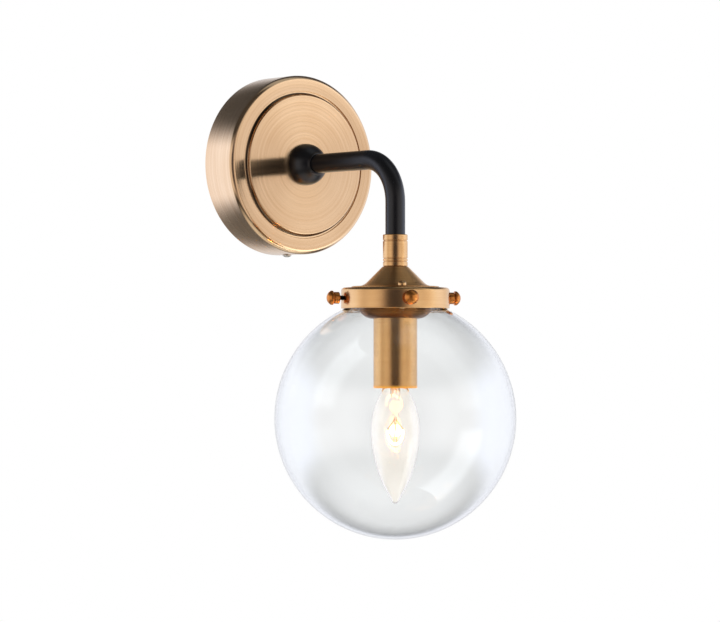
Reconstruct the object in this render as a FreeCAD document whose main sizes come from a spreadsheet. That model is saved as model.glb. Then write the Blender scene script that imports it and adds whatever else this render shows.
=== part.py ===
"""Globe wall sconce: a stepped round canopy, a bent arm and a clear globe with a lamp.

Millimetres.  The origin is the middle of the canopy on the wall plane, +Z is up and the
arm comes out of the wall along -Y.  In the names "out" is a distance from the wall and
"drop" a distance below the arm's centre line.
"""
import FreeCAD, Part

import math
import operator
import os

import Sketcher
from FreeCAD import Placement, Rotation, Vector

SIZES = {
    # canopy, turned about the line that leaves the wall
    "canopy_radius": 58.5,
    "canopy_depth": 29.0,
    "canopy_wall": 1.2,
    "canopy_edge_round": 3.0,
    "step_height": 2.1,
    "step_radius": 45.6,
    "step_cove": 1.6,
    "step_edge_round": 0.6,
    # wall bracket: an offset strap with two ears
    "strap_width": 25.0,
    "strap_thick": 2.0,
    "strap_offset": 8.0,
    "strap_middle": 36.0,
    "strap_bend_round": 0.9,
    "ear_gap": 3.3,
    "ear_length": 17.0,
    "box_screw_spacing": 88.9,
    "slot_length": 10.0,
    "slot_width": 4.6,
    "hook_width": 8.0,
    "hook_thick": 1.2,
    "hook_bite": 6.4,
    "hook_foot": 6.0,
    "side_screw_out": 11.0,
    "side_screw_head": 3.0,
    "side_screw_proud": 1.6,
    "side_screw_shank": 1.95,
    "ground_screw_head": 3.8,
    "ground_screw_rise": 2.4,
    "small_screw_shank": 2.0,
    "ground_screw_length": 7.0,
    "ground_screw_side": 7.0,
    "ground_screw_height": 20.0,
    "lug_radius": 4.6,
    "lug_lift": 0.1,
    "barrel_length": 6.5,
    "tag_thick": 0.6,
    "tag_radius": 8.4,
    "tag_reach": 14.5,
    "tag_width": 4.4,
    "earth_loop": 10.4,
    # arm
    "lamp_out": 123.5,
    "arm_radius": 6.25,
    "arm_wall": 1.2,
    "arm_bend": 28.0,
    "ball_radius": 13.6,
    "ball_foot": 0.6,
    "ball_collar": 7.3,
    "collar_height": 1.4,
    "ball_seat": 8.0,
    "nipple_radius": 4.9,
    "nipple_bore": 3.5,
    "nipple_tail": 12.0,
    "nipple_grip": 8.0,
    "nut_flats": 15.0,
    "nut_thick": 4.0,
    "washer_radius": 11.0,
    "washer_thick": 1.5,
    "bush_flange": 1.2,
    "bush_length": 5.0,
    # wires and terminal block
    "wire_radius": 1.1,
    "wire_spread": 1.3,
    "block_width": 18.0,
    "block_height": 13.0,
    "block_depth": 9.0,
    "block_drop": 18.0,
    "pole_spread": 5.0,
    "well_radius": 1.7,
    "well_depth": 3.0,
    "clamp_screw_rise": 2.2,
    # neck and fitter, turned about the lamp's upright axis
    "neck_drop": 48.4,
    "neck_length": 19.9,
    "neck_radius": 7.85,
    "neck_seat": 9.0,
    "neck_shoulder": 2.0,
    "groove_depth": 0.45,
    "groove_width": 0.7,
    "cone_height": 13.6,
    "cone_crown": 6.5,
    "cone_round": 3.0,
    "cone_flare": 9.0,
    "cone_foot": 27.6,
    "cone_wall": 0.8,
    "ring_radius": 34.3,
    "ring_height": 13.2,
    "ring_wall": 1.2,
    "ring_round": 2.2,
    "plate_screw_circle": 25.0,
    "plate_screw_angle": 5.2,
    "plate_screw_head": 2.6,
    "plate_screw_rise": 3.2,
    "plate_screw_shank": 1.25,
    "spacer_radius": 1.9,
    "shield_drop": 11.9,
    "shield_radius": 26.6,
    "shield_flange": 3.6,
    "shield_depth": 5.6,
    "shield_wall": 0.8,
    # thumbscrews
    "screw_turn": -24.3,
    "knob_radius": 4.5,
    "knob_shoulder": 3.7,
    "shoulder_length": 3.4,
    "knob_length": 8.0,
    "knob_gap": 0.4,
    "left_back_off": 1.8,
    "stud_radius": 1.5,
    "stud_gap": 0.08,
    "stud_grip": 4.0,
    "stud_bush_radius": 3.2,
    "stud_bush_thick": 1.8,
    "tip_length": 2.0,
    "tip_pin": 0.8,
    "tip_pin_length": 1.4,
    # globe
    "globe_radius": 76.2,
    "globe_neck": 6.53,
    "glass_wall": 2.0,
    "mouth_radius": 29.4,
    "mouth_headroom": 2.4,
    "mouth_fillet": 3.0,
    "mouth_gap": 0.1,
    # socket and its cup
    "cup_radius": 13.85,
    "cup_wall": 0.8,
    "cup_round": 1.6,
    "cup_length": 62.1,
    "socket_radius": 11.5,
    "socket_gap": 2.6,
    "socket_cap_length": 16.0,
    "socket_length": 33.5,
    "socket_wall": 1.6,
    "socket_floor": 4.0,
    "shell_bore": 6.03,
    "shell_wall": 0.5,
    "shell_inset": 0.9,
    "shell_length": 26.6,
    "spring_base": 3.0,
    "terminal_spread": 6.0,
    "terminal_side": 4.0,
    "terminal_rise": 3.0,
    # lamp bulb, torpedo glass on a small screw cap
    "bulb_radius": 15.65,
    "bulb_waist_run": 31.1,
    "bulb_length": 77.5,
    "bulb_shoulder": 9.3,
    "bulb_shoulder_run": 7.5,
    "bulb_throat": 5.6,
    "bulb_point": 4.6,
    "bulb_point_rise": 5.9,
    "bulb_nose": 2.4,
    "bulb_nose_rise": 1.7,
    "bulb_wall": 0.8,
    "cap_radius": 5.95,
    "cap_inset": 1.0,
    "cap_length": 19.0,
    "cap_wall": 0.3,
    "insulator_rise": 2.0,
    "contact_radius": 2.2,
    "contact_rise": 0.6,
    "contact_gap": 0.1,
    "stem_radius": 3.2,
    "stem_waist": 1.6,
    "stem_length": 23.0,
    "stem_flare": 2.2,
    "stem_barrel": 8.0,
    "stem_taper": 14.0,
    "stem_button": 0.7,
    "stem_button_rise": 1.6,
    "filament_half": 6.4,
    "filament_run": 31.0,
    "filament_sag": 9.0,
    "filament_radius": 0.7,
    "lead_radius": 0.28,
    # clearance of a plain fit
    "fit_gap": 0.05,
    # round of small turned and moulded edges
    "edge_ease": 0.4,
}

OUTWARDS = (Vector(1, 0, 0), 90)
UPSIDE_DOWN = (Vector(1, 0, 0), 180)
QUARTER = 90


# ------------------------------------------------------------ sizes that carry a formula
class Size:
    """A number together with the sheet formula that gives it."""

    def __init__(self, value, formula):
        self.value = float(value)
        self.formula = formula

    def __add__(self, other):
        return combine(self, "+", other)

    def __radd__(self, other):
        return combine(other, "+", self)

    def __sub__(self, other):
        return combine(self, "-", other)

    def __rsub__(self, other):
        return combine(other, "-", self)

    def __mul__(self, other):
        return combine(self, "*", other)

    def __rmul__(self, other):
        return combine(other, "*", self)

    def __truediv__(self, other):
        return combine(self, "/", other)

    def __neg__(self):
        return combine(0, "-", self)


OPERATIONS = {"+": operator.add, "-": operator.sub, "*": operator.mul, "/": operator.truediv}


def size(thing):
    """Return a Size for a Size or a plain number."""
    if isinstance(thing, Size):
        return thing
    return Size(thing, "(%.6f)" % thing)


def combine(left, sign, right):
    """Join two sizes by an operation, in value and in formula."""
    left = size(left)
    right = size(right)
    value = OPERATIONS[sign](left.value, right.value)
    return Size(value, "(%s %s %s)" % (left.formula, sign, right.formula))


def root(thing):
    """Return the square root of a size."""
    return Size(math.sqrt(thing.value), "sqrt(%s)" % thing.formula)


def leg(long_side, short_side):
    """Return the other side of a right triangle."""
    return root(long_side * long_side - short_side * short_side)


def sine(angle):
    """Return the sine of an angle in degrees."""
    return Size(math.sin(math.radians(angle.value)), "sin(%s)" % angle.formula)


def cosine(angle):
    """Return the cosine of an angle in degrees."""
    return Size(math.cos(math.radians(angle.value)), "cos(%s)" % angle.formula)


def cap_sphere(half, height):
    """Return the radius of the round that is so high over so wide a half chord."""
    return (half * half + height * height) / (2 * height)


class Lengths:
    """The driving sizes by name, each tied to its cell."""


doc = FreeCAD.newDocument("globe_wall_sconce")
sheet = doc.addObject("Spreadsheet::Sheet", "Sizes")
sheet.Label = "Sizes"
s = Lengths()
for row, (name, number) in enumerate(SIZES.items(), start=1):
    cell = "A%d" % row
    sheet.set(cell, str(number))
    sheet.setAlias(cell, name)
    setattr(s, name, Size(number, "Sizes." + name))
doc.recompute()

# places that several pieces share
canopy_bore = s.canopy_radius - s.canopy_wall
ear_reach = canopy_bore - s.ear_gap
step_out = s.canopy_depth + s.step_height
step_back = step_out - s.canopy_wall
strap_front = s.strap_offset + s.strap_thick
ball_mouth = step_out + s.ball_seat
nipple_hole = s.nipple_radius + s.fit_gap
nipple_end = step_back - s.nipple_tail
washer_back = step_back - s.washer_thick
tag_back = washer_back - s.tag_thick
block_middle = s.block_drop + s.block_height / 2
entry_out = strap_front + s.block_depth / 2
neck_end = s.neck_drop + s.neck_length
lower_nipple_top = s.neck_drop + s.neck_seat + s.neck_shoulder
ring_top = neck_end + s.cone_height
ring_end = ring_top + s.ring_height
ring_bore = s.ring_radius - s.ring_wall
flange_top = ring_top - s.cone_wall
plate_under = ring_top + s.ring_wall
screw_drop = ring_top + s.ring_height / 2
cup_under = plate_under + s.cup_wall
cup_end = plate_under + s.cup_length
nut_top = cup_under + s.washer_thick
socket_top = nut_top + s.nut_thick + s.socket_gap
socket_joint = socket_top + s.socket_cap_length
socket_end = socket_joint + s.socket_length
shell_end = socket_end - s.shell_inset
lower_nipple_end = socket_top + s.socket_wall + 1.2
terminal_top = socket_joint - s.terminal_rise
shield_top = plate_under + s.shield_drop
mouth_top = plate_under + s.mouth_headroom
stud_hole = s.stud_radius + s.stud_gap
cap_rim = socket_end - s.cap_inset
cap_start = cap_rim - s.cap_length
cap_end = cap_start - s.insulator_rise
contact_end = cap_end - s.contact_rise
bulb_tip = cap_rim + s.bulb_length
stem_end = cap_rim + s.stem_length


# ------------------------------------------------------------------ sketches and bodies
def plane_of(body, role):
    """Return the body's own origin plane of that role."""
    for feature in body.Origin.OriginFeatures:
        if feature.Role == role:
            return feature
    raise ValueError(role)


def new_body(name):
    """Add a body whose label names its file."""
    body = doc.addObject("PartDesign::Body", name)
    body.Label = name
    return body


def new_sketch(body, name, role, lift=0):
    """Add a sketch on one of the body's origin planes, lifted off it along its normal."""
    sketch = body.newObject("Sketcher::SketchObject", name)
    sketch.AttachmentSupport = (plane_of(body, role), [""])
    sketch.MapMode = "FlatFace"
    lift = size(lift)
    sketch.AttachmentOffset = Placement(Vector(0, 0, lift.value), Rotation())
    sketch.setExpression("AttachmentOffset.Base.z", lift.formula)
    return sketch


def bind(sketch, constraint, thing):
    """Add a constraint and tie it to the sheet."""
    index = sketch.addConstraint(constraint)
    sketch.setExpression("Constraints[%d]" % index, thing.formula)


def plain(corner):
    """Return the values of a corner."""
    if corner[0] == "arc":
        corner = corner[1:]
    return size(corner[0]).value, size(corner[1]).value


def axis_step(start, end):
    """Return the unit step, along an axis, from start towards end."""
    across, up = end[0] - start[0], end[1] - start[1]
    if abs(across) > abs(up):
        return (math.copysign(1.0, across), 0.0)
    return (0.0, math.copysign(1.0, up))


def softened(corners):
    """Return the ends of all runs as (u, v, bulge of the run that leads there).

    A corner is (u, v), or (u, v, round) between runs along the axes, or
    ("arc", u, v, radius) for the end of a curved run.  A curved run turns left where its
    radius is positive, and right where it is negative.
    """
    ends = []
    for index, corner in enumerate(corners):
        if corner[0] == "arc":
            ends.append((size(corner[1]), size(corner[2]), size(corner[3])))
            continue
        u, v = size(corner[0]), size(corner[1])
        if len(corner) == 2:
            ends.append((u, v, None))
            continue
        here = (u.value, v.value)
        into = axis_step(plain(corners[index - 1]), here)
        away = axis_step(here, plain(corners[(index + 1) % len(corners)]))
        turn = math.copysign(1.0, into[0] * away[1] - into[1] * away[0])
        radius = size(corner[2])
        ends.append((u - radius * into[0], v - radius * into[1], None))
        ends.append((u + radius * away[0], v + radius * away[1], radius * turn))
    return ends


def run_shape(start, end):
    """Return the line or the arc from start to end, and whether it runs left-handed."""
    a = Vector(start[0].value, start[1].value, 0)
    b = Vector(end[0].value, end[1].value, 0)
    bulge = end[2]
    if bulge is None:
        return Part.LineSegment(a, b), True
    radius = abs(bulge.value)
    chord = b - a
    height = math.sqrt(max(radius * radius - chord.Length * chord.Length / 4, 0))
    left = Vector(-chord.y, chord.x, 0).normalize()
    leftwards = bulge.value > 0
    centre = (a + b) * 0.5 + left * (height if leftwards else -height)
    first, last = (a, b) if leftwards else (b, a)
    start_angle = math.atan2(first.y - centre.y, first.x - centre.x)
    end_angle = math.atan2(last.y - centre.y, last.x - centre.x)
    circle = Part.Circle(centre, Vector(0, 0, 1), radius)
    return Part.ArcOfCircle(circle, start_angle, end_angle), leftwards


def fix_end(sketch, index, head, u, v):
    """Tie one end of a run to its place in the sheet."""
    bind(sketch, Sketcher.Constraint("DistanceX", -1, 1, index, head, u.value), u)
    bind(sketch, Sketcher.Constraint("DistanceY", -1, 1, index, head, v.value), v)


def outline(sketch, corners, closed=True):
    """Draw runs through the corners, each end and each radius tied to the sheet."""
    ends = softened(corners)
    count = len(ends) if closed else len(ends) - 1
    first = sketch.GeometryCount
    heads = []
    for index in range(count):
        shape, leftwards = run_shape(ends[index], ends[(index + 1) % len(ends)])
        sketch.addGeometry(shape, False)
        heads.append((1, 2) if leftwards else (2, 1))
    for index in range(count):
        fix_end(sketch, first + index, heads[index][0], ends[index][0], ends[index][1])
        if closed or index + 1 < count:
            following = (index + 1) % count
            sketch.addConstraint(Sketcher.Constraint(
                "Coincident", first + index, heads[index][1], first + following, heads[following][0]))
        bulge = ends[(index + 1) % len(ends)][2]
        if bulge is not None:
            radius = bulge if bulge.value > 0 else -bulge
            bind(sketch, Sketcher.Constraint("Radius", first + index, radius.value), radius)
    if not closed:
        fix_end(sketch, first + count - 1, heads[-1][1], ends[-1][0], ends[-1][1])


def round_line(sketch, u, v, radius):
    """Draw a circle whose centre and radius are tied to the sheet."""
    u, v, radius = size(u), size(v), size(radius)
    circle = Part.Circle(Vector(u.value, v.value, 0), Vector(0, 0, 1), radius.value)
    index = sketch.addGeometry(circle, False)
    fix_end(sketch, index, 3, u, v)
    bind(sketch, Sketcher.Constraint("Radius", index, radius.value), radius)


def box_line(sketch, left, right, low, high):
    """Draw an upright rectangle."""
    outline(sketch, [(left, low), (right, low), (right, high), (left, high)])


def slot_line(sketch, middle_u, middle_v, half_width, half_length):
    """Draw an upright slot with round ends, as quarter arcs."""
    reach = half_length - half_width
    top, low = middle_v + reach, middle_v - reach
    right, left = middle_u + half_width, middle_u - half_width
    outline(sketch, [("arc", right, low, half_width), (right, top),
                     ("arc", middle_u, top + half_width, half_width), ("arc", left, top, half_width),
                     (left, low), ("arc", middle_u, low - half_width, half_width)])


def place(piece, at=(0, 0, 0), turn=None):
    """Give a piece its Placement, bound to the sheet; turn is (axis, angle)."""
    axis, angle = turn if turn else (Vector(0, 0, 1), 0)
    angle = size(angle)
    base = [size(part) for part in at]
    piece.Placement = Placement(Vector(*[part.value for part in base]), Rotation(axis, angle.value))
    for letter, part in zip("xyz", base):
        piece.setExpression("Placement.Base." + letter, part.formula)
    if "Sizes" in angle.formula:
        piece.setExpression("Placement.Rotation.Angle", angle.formula)


def turned(name, corners, at=(0, 0, 0), turn=None, lying=False):
    """Turn a half outline about its axis.

    The corners are (radius, height) about the upright axis, or, for a lying piece,
    (place along the body's Y, radius).
    """
    body = new_body(name)
    sketch = new_sketch(body, name + "_outline", "YZ_Plane" if lying else "XZ_Plane")
    outline(sketch, corners)
    doc.recompute()
    feature = body.newObject("PartDesign::Revolution", name + "_turned")
    feature.Profile = sketch
    feature.ReferenceAxis = (sketch, ["H_Axis" if lying else "V_Axis"])
    feature.Angle = 360
    place(body, at, turn)
    doc.recompute()
    return body


def tube(name, outer, inner, start, end, at=(0, 0, 0), turn=None):
    """A plain sleeve between two heights."""
    return turned(name, [(inner, start), (outer, start), (outer, end), (inner, end)], at, turn)


def on_lamp_axis(drop=0):
    """Return the place on the lamp's axis at a drop below the arm."""
    return (0, -s.lamp_out, -size(drop))


def bind_length(feature, length):
    """Tie a pad's or pocket's length to the sheet."""
    length = size(length)
    feature.Type = "Length"
    feature.Length = length.value
    feature.setExpression("Length", length.formula)


def padded(body, name, role, draw, length, centred=False, lift=0):
    """Pad a drawn shape off its plane, or to both sides of it."""
    sketch = new_sketch(body, name + "_shape", role, lift)
    draw(sketch)
    doc.recompute()
    pad = body.newObject("PartDesign::Pad", name)
    pad.Profile = sketch
    bind_length(pad, length)
    pad.Midplane = centred
    doc.recompute()


def cut(body, name, role, draw, length=None, lift=0, reverse=False):
    """Pocket a drawn shape: right through both ways, or to a length against the normal."""
    sketch = new_sketch(body, name + "_shape", role, lift)
    draw(sketch)
    doc.recompute()
    before = body.Shape.Volume
    pocket = body.newObject("PartDesign::Pocket", name)
    pocket.Profile = sketch
    pocket.Reversed = reverse
    if length is None:
        pocket.Type = "ThroughAll"
        pocket.Midplane = True
    else:
        bind_length(pocket, length)
    doc.recompute()
    if body.Shape.Volume > before * (1 - 1e-7):
        raise ValueError("%s cuts nothing" % name)


def hex_nut(name, flats, thick, bore, at, turn=None):
    """A hexagon nut that stands on its own plane."""
    body = new_body(name)
    reach = flats / math.sqrt(3.0)
    corners = []
    for step in range(6):
        angle = math.radians(60 * step + 30)
        corners.append((reach * math.cos(angle), reach * math.sin(angle)))

    def draw(sketch):
        outline(sketch, corners)
        round_line(sketch, 0, 0, bore)

    padded(body, name + "_pad", "XY_Plane", draw, thick)
    place(body, at, turn)
    doc.recompute()
    return body


def slotted_screw(name, head, rise, shank, length, at, turn=None):
    """Round-headed screw, head up, seat at height 0, with a driver slot."""
    brim = rise * 0.35
    crown = cap_sphere(head, rise - brim)
    body = turned(name, [(0, -length), (shank, -length), (shank, 0), (head, 0), (head, brim),
                         ("arc", 0, rise, crown)], at, turn)
    slot = head * 0.14

    def draw(sketch):
        box_line(sketch, -slot, slot, rise * 0.5, rise + 1)

    cut(body, name + "_slot", "XZ_Plane", draw)
    return body


# ------------------------------------------------------------ primitives, for groups
def cylinder(name, radius, height, at, turn=None):
    """A Part cylinder bound to the sheet."""
    piece = doc.addObject("Part::Cylinder", name)
    for key, thing in (("Radius", size(radius)), ("Height", size(height))):
        setattr(piece, key, thing.value)
        piece.setExpression(key, thing.formula)
    place(piece, at, turn)
    return piece


def block(name, sides, at):
    """A Part box bound to the sheet, centred across and standing on its height."""
    piece = doc.addObject("Part::Box", name)
    sides = [size(side) for side in sides]
    for key, side in zip(("Length", "Width", "Height"), sides):
        setattr(piece, key, side.value)
        piece.setExpression(key, side.formula)
    place(piece, (at[0] - sides[0] / 2, at[1] - sides[1] / 2, at[2]))
    return piece


def less(name, base, tool):
    """Cut one Part object from another."""
    piece = doc.addObject("Part::Cut", name)
    piece.Base = base
    piece.Tool = tool
    return piece


def group(name, members, at=(0, 0, 0), turn=None):
    """Join alike separate solids in one node."""
    piece = doc.addObject("Part::Compound", name)
    piece.Label = name
    piece.Links = members
    place(piece, at, turn)
    doc.recompute()
    return piece


# -------------------------------------------------------------------------------- wires
def spot(x, out, drop):
    """Return a point from its place across, out from the wall and below the arm."""
    return Vector(size(x).value, -size(out).value, -size(drop).value)


def wire(name, route, radius, bends=None):
    """Sweep a round section along straight runs with tangent arcs.

    The arcs are as large as the runs beside them allow; bends gives some of them by
    their point's number.
    """
    bends = bends or {}
    edges = []
    start = route[0]
    sharpest = None
    for index in range(1, len(route) - 1):
        before, here, after = route[index - 1], route[index], route[index + 1]
        into = (here - before).normalize()
        away = (after - here).normalize()
        half = into.getAngle(away) / 2
        shorter = min((here - before).Length, (after - here).Length)
        bend = bends.get(index, 0.45 * shorter / math.tan(half))
        back = bend * math.tan(half)
        first, last = here - into * back, here + away * back
        inner = (away - into).normalize()
        middle = here + inner * (bend / math.cos(half) - bend)
        edges.append(Part.LineSegment(start, first).toShape())
        edges.append(Part.Arc(first, middle, last).toShape())
        start = last
        sharpest = bend if sharpest is None else min(sharpest, bend)
    edges.append(Part.LineSegment(start, route[-1]).toShape())
    path = Part.Wire(edges)
    heading = route[1] - route[0]
    section = Part.Wire([Part.Circle(route[0], heading, radius.value).toShape()])
    piece = doc.addObject("Part::Feature", name)
    piece.Label = name
    piece.Shape = path.makePipeShell([section], True, False)
    expected = math.pi * radius.value ** 2 * path.Length
    print("%s: length %.1f, tightest bend %s, volume %.4f of expected"
          % (name, path.Length, sharpest and round(sharpest, 2), piece.Shape.Volume / expected))
    return piece


# ----------------------------------------------------------------------- wall and canopy
def wall_bracket():
    """Offset steel strap with two ears; its slots take the outlet box screws."""
    body = new_body("wall_bracket")
    t, mid, bend = s.strap_thick, s.strap_middle, s.strap_bend_round
    front = -strap_front
    upper = [(-s.ear_length, ear_reach), (-s.ear_length, ear_reach - t), (-t, ear_reach - t),
             (-t, mid, bend), (front, mid, bend)]
    upper_back = [(-s.strap_offset, mid - t, bend), (0, mid - t, bend), (0, ear_reach, bend)]
    lower = [(corner[0], -size(corner[1]), *corner[2:]) for corner in reversed(upper)]
    lower_back = [(corner[0], -size(corner[1]), *corner[2:]) for corner in reversed(upper_back)]
    corners = upper + lower + lower_back + upper_back
    padded(body, "strap", "YZ_Plane", lambda sketch: outline(sketch, corners), s.strap_width, True)

    def slots(sketch):
        for side in (1, -1):
            slot_line(sketch, 0, s.box_screw_spacing / 2 * side, s.slot_width / 2, s.slot_length / 2)

    def tapped_holes(sketch):
        tapped = s.small_screw_shank + s.fit_gap
        round_line(sketch, s.ground_screw_side, s.ground_screw_height, tapped)
        round_line(sketch, 0, -block_middle, tapped)

    def side_hole(sketch):
        round_line(sketch, 0, -s.side_screw_out, s.side_screw_shank + s.fit_gap)

    cut(body, "box_screw_slots", "XZ_Plane", slots, s.strap_thick + 2 * s.fit_gap,
        lift=s.strap_thick + s.fit_gap)
    cut(body, "tapped_holes", "XZ_Plane", tapped_holes)
    cut(body, "side_screw_hole", "XY_Plane", side_hole, s.strap_thick + 2,
        lift=-(ear_reach - s.strap_thick - 1))


def canopy():
    """Stepped spun shell, open at the wall."""
    wall, depth = s.canopy_wall, s.canopy_depth
    cove = s.step_cove
    corners = [
        (s.canopy_radius, 0), (s.canopy_radius, depth, s.canopy_edge_round),
        (s.step_radius + cove, depth), ("arc", s.step_radius, depth + cove * 0.7, -cove * 1.05),
        (s.step_radius, step_out, s.step_edge_round), (nipple_hole, step_out),
        (nipple_hole, step_back), (s.step_radius - wall, step_back), (s.step_radius - wall, depth - wall),
        (canopy_bore, depth - wall, s.canopy_edge_round - wall), (canopy_bore, 0)]
    body = turned("canopy", corners, turn=OUTWARDS)

    def side_hole(sketch):
        round_line(sketch, 0, s.side_screw_out, s.side_screw_shank + 4 * s.fit_gap)

    cut(body, "canopy_screw_hole", "XZ_Plane", side_hole, s.canopy_radius + 1, reverse=True)


def canopy_hook():
    """Clip inside the top of the canopy; its tongue hangs before the bracket's upper ear."""
    body = new_body("canopy_hook")
    top = leg(canopy_bore, s.hook_width / 2) - s.fit_gap
    near = s.ear_length + 0.3
    far = near + s.hook_thick
    end = far + s.hook_foot
    corners = [(-near, top), (-near, top - s.hook_bite), (-far, top - s.hook_bite),
               (-far, top - s.hook_thick), (-end, top - s.hook_thick), (-end, top)]
    padded(body, "clip", "YZ_Plane", lambda sketch: outline(sketch, corners), s.hook_width, True)


def bracket_screws():
    """Nickel set screw under the canopy, ground screw and terminal block screw."""
    reach = s.canopy_wall + s.ear_gap + s.strap_thick + 2
    slotted_screw("canopy_set_screw", s.side_screw_head, s.side_screw_proud, s.side_screw_shank, reach,
                  (0, -s.side_screw_out, -s.canopy_radius), UPSIDE_DOWN)
    slotted_screw("ground_screw", s.ground_screw_head, s.ground_screw_rise, s.small_screw_shank,
                  s.ground_screw_length, (s.ground_screw_side, -strap_front - s.tag_thick,
                                          s.ground_screw_height), OUTWARDS)


def earth_lug():
    """Crimp lug under the ground screw, its barrel along the strap."""
    body = new_body("earth_lug")
    x, z = s.ground_screw_side, s.ground_screw_height
    bore = s.wire_radius + s.fit_gap
    barrel = bore + s.tag_thick
    mouth = x - s.lug_radius + 0.6 - s.barrel_length

    def ring(sketch):
        round_line(sketch, x, z, s.lug_radius)
        round_line(sketch, x, z, s.small_screw_shank + s.fit_gap)

    padded(body, "lug_ring", "XZ_Plane", ring, s.tag_thick)
    lane = -(barrel + s.lug_lift)
    padded(body, "lug_barrel", "YZ_Plane", lambda sketch: round_line(sketch, lane, z, barrel),
           s.barrel_length, lift=mouth)
    cut(body, "lug_bore", "YZ_Plane", lambda sketch: round_line(sketch, lane, z, bore),
        s.barrel_length * 0.7, lift=mouth, reverse=True)
    place(body, (0, -strap_front, 0))
    doc.recompute()


def earth_tag():
    """Solder tag between the washer and the lock nut."""
    body = new_body("earth_tag")

    def ring(sketch):
        round_line(sketch, 0, 0, s.tag_radius)
        round_line(sketch, 0, 0, nipple_hole)

    def tab(sketch):
        box_line(sketch, -s.tag_width / 2, s.tag_width / 2, s.nipple_radius + 1.5, s.tag_reach)

    padded(body, "tag_ring", "XY_Plane", ring, s.tag_thick)
    padded(body, "tag_tab", "XY_Plane", tab, s.tag_thick)
    place(body, (0, -tag_back, 0), OUTWARDS)
    doc.recompute()


def terminal_block():
    """Two-pole block on the strap, its entries facing the nipple, with its screws."""
    body = new_body("terminal_block")
    half, level = s.block_width / 2, s.block_height / 4
    padded(body, "block", "XZ_Plane",
           lambda sketch: box_line(sketch, -half, half, -block_middle - level * 2, -block_middle + level * 2),
           s.block_depth)
    place(body, (0, -strap_front, 0))

    def wells(sketch):
        for side in (1, -1):
            for step in (1, -1):
                round_line(sketch, s.pole_spread * side, -block_middle + level * step, s.well_radius)

    cut(body, "fixing_hole", "XZ_Plane",
        lambda sketch: round_line(sketch, 0, -block_middle, s.small_screw_shank + s.fit_gap))
    cut(body, "screw_wells", "XZ_Plane", wells, s.well_depth, lift=s.block_depth)
    slotted_screw("terminal_block_screw", s.well_radius + 1, s.side_screw_proud, s.small_screw_shank,
                  s.block_depth + s.strap_thick + 1,
                  (0, -strap_front - s.block_depth, -block_middle), OUTWARDS)
    screws = []
    floor = strap_front + s.block_depth - s.well_depth
    for side in (1, -1):
        for step in (1, -1):
            screws.append(cylinder("clamp_screw", s.well_radius - s.fit_gap, s.clamp_screw_rise,
                                   (s.pole_spread * side, -floor, -block_middle + level * step), OUTWARDS))
    group("terminal_clamp_screws", screws)


# ---------------------------------------------------------------------------------- arm
def arm_base_ball():
    """Half ball on the canopy with a collar round the tube."""
    ball, foot, collar = s.ball_radius, s.ball_foot, s.ball_collar
    seat = s.arm_radius + s.fit_gap
    meet = foot + leg(ball, collar)
    corners = [(nipple_hole, 0), (ball, 0), (ball, foot), ("arc", collar, meet, ball),
               (collar, meet + s.collar_height, 0.5), (seat, meet + s.collar_height), (seat, s.ball_seat),
               (nipple_hole, s.ball_seat)]
    turned("arm_base_ball", corners, (0, -step_out, 0), OUTWARDS)


def arm_tube():
    """Bent tube from the ball to the neck."""
    body = new_body("arm_tube")
    path = new_sketch(body, "arm_path", "YZ_Plane")
    out = -s.lamp_out
    outline(path, [(-ball_mouth, 0), (out + s.arm_bend, 0), ("arc", out, -s.arm_bend, s.arm_bend),
                   (out, -(s.neck_drop + s.neck_seat))], closed=False)
    section = new_sketch(body, "arm_section", "XZ_Plane", ball_mouth)
    round_line(section, 0, 0, s.arm_radius)
    round_line(section, 0, 0, s.arm_radius - s.arm_wall)
    doc.recompute()
    pipe = body.newObject("PartDesign::AdditivePipe", "arm_pipe")
    pipe.Profile = section
    pipe.Spine = (path, ["Edge1", "Edge2", "Edge3"])
    doc.recompute()


def arm_fastenings():
    """Nipple, washer, lock nut and wire bush behind the canopy's face."""
    tube("arm_nipple", s.nipple_radius, s.nipple_bore, nipple_end, ball_mouth + s.nipple_grip,
         turn=OUTWARDS)
    tube("arm_washer", s.washer_radius, nipple_hole, washer_back, step_back, turn=OUTWARDS)
    hex_nut("arm_lock_nut", s.nut_flats, s.nut_thick, nipple_hole,
            (0, -(tag_back - s.nut_thick), 0), OUTWARDS)
    sleeve = s.nipple_bore - s.fit_gap
    hole = s.wire_radius + s.wire_spread + 0.3
    flange = nipple_end - s.bush_flange
    turned("wire_bush", [(hole, flange), (s.nipple_radius, flange), (s.nipple_radius, nipple_end),
                         (sleeve, nipple_end), (sleeve, nipple_end + s.bush_length),
                         (hole, nipple_end + s.bush_length)], turn=OUTWARDS)


def lamp_wires():
    """Line and neutral wires from the terminal block through the arm to the socket."""
    for name, side in (("line_wire", 1), ("neutral_wire", -1)):
        pole = s.pole_spread * side
        lane = s.wire_spread * side
        terminal = s.terminal_spread * side
        route = [spot(pole, entry_out, s.block_drop), spot(pole, entry_out, s.block_drop - 6),
                 spot(pole * 0.55, entry_out - 1.9, 5), spot(lane, entry_out - 0.4, 0),
                 spot(lane, s.lamp_out, 0), spot(lane, s.lamp_out, lower_nipple_end + 1.4),
                 spot(terminal, s.lamp_out, terminal_top - 3.4), spot(terminal, s.lamp_out, terminal_top)]
        wire(name, route, s.wire_radius, {4: s.arm_bend.value})


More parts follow.
